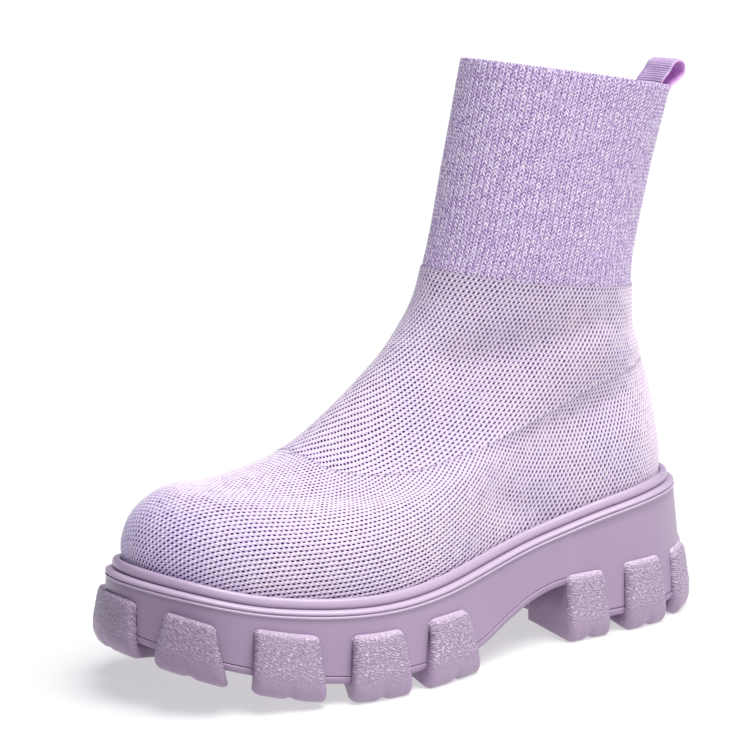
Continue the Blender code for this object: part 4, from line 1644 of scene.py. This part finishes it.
def tread_finish():
    """The same rubber, matte and pebbled on the lugs, its grain coloured from painted shade to painted
    highlight, with a painted highlight along the lugs' tops.
    """
    f = Finish("grained_rubber_mauve")
    place = f.place()
    cloud = f.noise(place, *RUBBER_CLOUD)
    grain = f.mark("grain")
    spot = slanted(f, f.mark("lug_across"), f.mark("lug_up"), GRAIN_LEAN, *GRAIN_FINE)
    pebble = f.step(f.noise(spot, 1.0, 1.0), *PEBBLE_SPAN)
    # Grain from painted shade to painted highlight, then a painted highlight along the lugs' tops
    colour = f.blend(grain, f.mottle(cloud, TREAD_RUBBER), f.ramp(pebble, *LUG_GRAIN_WITH_PAINTED_LIGHT))
    colour = f.blend(f.times(f.mark("lug_top"), LUG_TOP_HIGHLIGHT_SHARE), colour, LUG_TOP_HIGHLIGHT)
    # Painted shade towards the toe
    f.set(
        Base_Color=painted_toe_shade(f, place, colour, RUBBER_PAINTED_SHADE_MOST), Roughness=0.45,
        Coat_Weight=0.25, Coat_Roughness=0.3, Normal=f.bump(f.times(pebble, grain), 0.0007, 1.0),
    )
    return f.material


def webbing_finish():
    """Ribbed webbing, painted more violet inside the loop for light through the tape and bouncing in it, with
    painted shade in the rib grooves.
    """
    f = Finish("ribbed_webbing_violet")
    yarn = f.noise(f.place(), *TAPE_YARN)
    # Painted light inside the loop, and painted shade in the rib grooves
    tape = f.blend(f.mark("inside"), f.mottle(yarn, TAPE_OUTSIDE), f.mottle(yarn, TAPE_INSIDE_PAINTED_LIGHT))
    groove = f.times(f.wave(f.per(f.mark("run"), TAPE_RIB)), GROOVE_SHADE_SHARE)
    f.set(
        Base_Color=f.blend(groove, tape, TAPE_GROOVE_SHADE), Roughness=0.6, Sheen_Weight=0.2,
        Subsurface_Weight=0.5, Subsurface_Radius=(1.0, 0.6, 1.0), Subsurface_Scale=0.002,
    )
    return f.material


def thread_finish():
    """Twisted sewing thread."""
    f = Finish("sewing_thread_lilac")
    twist = f.noise(f.place(), *THREAD_PLY)
    f.set(
        Base_Color=f.mottle(twist, THREAD_TWIST), Roughness=0.5, Sheen_Weight=0.2,
        Normal=f.bump(twist, 0.0001, 0.6),
    )
    return f.material


def footbed_finish():
    """Brushed lining cloth on the footbed."""
    f = Finish("brushed_lining_lilac")
    nap = f.noise(f.place(), *FOOTBED_FUZZ)
    f.set(
        Base_Color=f.mottle(nap, FOOTBED_NAP), Roughness=0.95, Sheen_Weight=0.3,
        Normal=f.bump(nap, 0.0004, 0.4),
    )
    return f.material


def make_floor():
    """A plain pale floor that glows a little."""
    mesh = bpy.data.meshes.new("floor")
    half = FLOOR_HALF
    corners = [(-half, -half, 0), (half, -half, 0), (half, half, 0), (-half, half, 0)]
    mesh.from_pydata(corners, [], [(0, 1, 2, 3)])
    f = Finish("pale_floor")
    f.set(
        Base_Color=FLOOR_COLOUR, Roughness=0.8,
        Emission_Color=(1.0, 1.0, 1.0, 1.0), Emission_Strength=FLOOR_GLOW,
    )
    mesh.materials.append(f.material)
    floor = new_object("floor", mesh)


def make_room():
    """A soft room round the boot, brighter on the outer side."""
    world = bpy.data.worlds.new("pale_room")
    world.use_nodes = True
    n = Nodes(world.node_tree)
    way = n.node("ShaderNodeTexCoord").outputs["Generated"]
    side = n.node("ShaderNodeVectorMath", {"operation": "DOT_PRODUCT"}, i0=way, i1=ROOM_SIDE)
    outward = n.math("MULTIPLY_ADD", side.outputs["Value"], 0.5, 0.5)
    share = n.math("POWER", outward, ROOM_POWER)
    light = n.node("ShaderNodeMixRGB", Fac=share, Color1=ROOM_DIM, Color2=ROOM_BRIGHT)
    n.feed(world.node_tree.nodes["Background"].inputs["Color"], light.outputs[0])
    bpy.context.scene.world = world


def make_key_light():
    """One broad soft light from above, the outer side and a little behind."""
    lamp = bpy.data.lights.new("broad_key", "SUN")
    lamp.angle = KEY_SPREAD
    lamp.energy = KEY_LIGHT
    lamp.color = KEY_COLOUR
    aim = -Vector(KEY_FROM)
    key = new_object("broad_key", lamp)
    key.matrix_world = aim.to_track_quat("-Z", "Y").to_matrix().to_4x4()


def make_camera():
    """The camera where the picture was taken from, rolled a little."""
    at, aim = np.array(CAMERA_AT), np.array(CAMERA_AIM)
    forward = unit(aim - at)
    right = unit(np.cross(forward, (0, 0, 1)))
    up = np.cross(right, forward)
    turned_right = math.cos(CAMERA_ROLL) * right + math.sin(CAMERA_ROLL) * up
    turned_up = -math.sin(CAMERA_ROLL) * right + math.cos(CAMERA_ROLL) * up
    place = np.eye(4)
    place[:3, :3] = np.column_stack([turned_right, turned_up, -forward])
    place[:3, 3] = at * MM
    data = bpy.data.cameras.new("picture_camera")
    data.sensor_width = SENSOR
    data.lens = CAMERA_LENS
    camera = new_object("picture_camera", data)
    camera.matrix_world = Matrix(place.tolist())
    bpy.context.scene.camera = camera


def dress_upper():
    """Knit foot, knit ankle and rib cuff."""
    knit, holes = knit_finish(), knit_relief()
    sizes = {
        "Hole_pitch": HOLE_PITCH, "Hole_row": HOLE_ROW, "Hole_depth": HOLE_DEEP,
        "Edge_fade": EDGE_FADE, "Edge_dip": EDGE_DIP, "Finish": knit,
    }
    foot = knit_panel("knit_foot", np.zeros_like, join_place, "low")
    add_piece(holes.run(foot, **sizes), "upper")
    ankle = knit_panel("knit_ankle", join_place, edge_place, "top")
    add_piece(holes.run(ankle, **sizes), "upper")
    cuff, rib_pitch = plain_cuff()
    cuff_relief().run(
        cuff, Rib_pitch=rib_pitch, Rib_depth=RIB_DEEP, Stitch_pitch=STITCH_PITCH,
        Stitch_depth=STITCH_DEEP, Edge_fade=CUFF_ROLL_REACH, Finish=rib_finish(rib_pitch),
    )
    add_piece(cuff, "upper")


def dress_sole():
    """Platform and tread."""
    platform = make_platform()
    platform.data.materials.append(platform_finish())
    add_piece(platform, "midsole")
    tread = plain_tread()
    grain_relief().run(
        tread, Grain_length=GRAIN_LENGTH, Grain_width=GRAIN_WIDTH, Grain_depth=GRAIN_DEEP,
        Finish=tread_finish(),
    )
    add_piece(tread, "outsole")


def dress_pull_loop():
    """Webbing tape and the stitches that hold its tail."""
    tape = Tape()
    strip = plain_tape(tape)
    tape_relief().run(strip, Rib_pitch=TAPE_RIB, Rib_depth=TAPE_RIB_DEEP, Finish=webbing_finish())
    add_piece(strip, "pull_loop")
    seam = seam_path(tape)
    seam_stitches().run(
        seam, Stitch_pitch=SEAM_PITCH, Stitch_length=SEAM_STITCH, Thread_width=SEAM_THREAD,
        Finish=thread_finish(),
    )
    add_piece(seam, "pull_loop")


def dress_footbed(insole):
    """The footbed keeps its solid's mesh and gets a lining."""
    insole.materials.clear()
    insole.materials.append(footbed_finish())


def main():
    """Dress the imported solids, light them and place the camera."""
    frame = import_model()
    dress_upper()
    dress_sole()
    dress_pull_loop()
    dress_footbed(frame["nodes"]["insole"].data)
    make_floor()
    make_room()
    make_key_light()
    make_camera()
    bpy.context.scene.view_settings.view_transform = "Standard"


main()
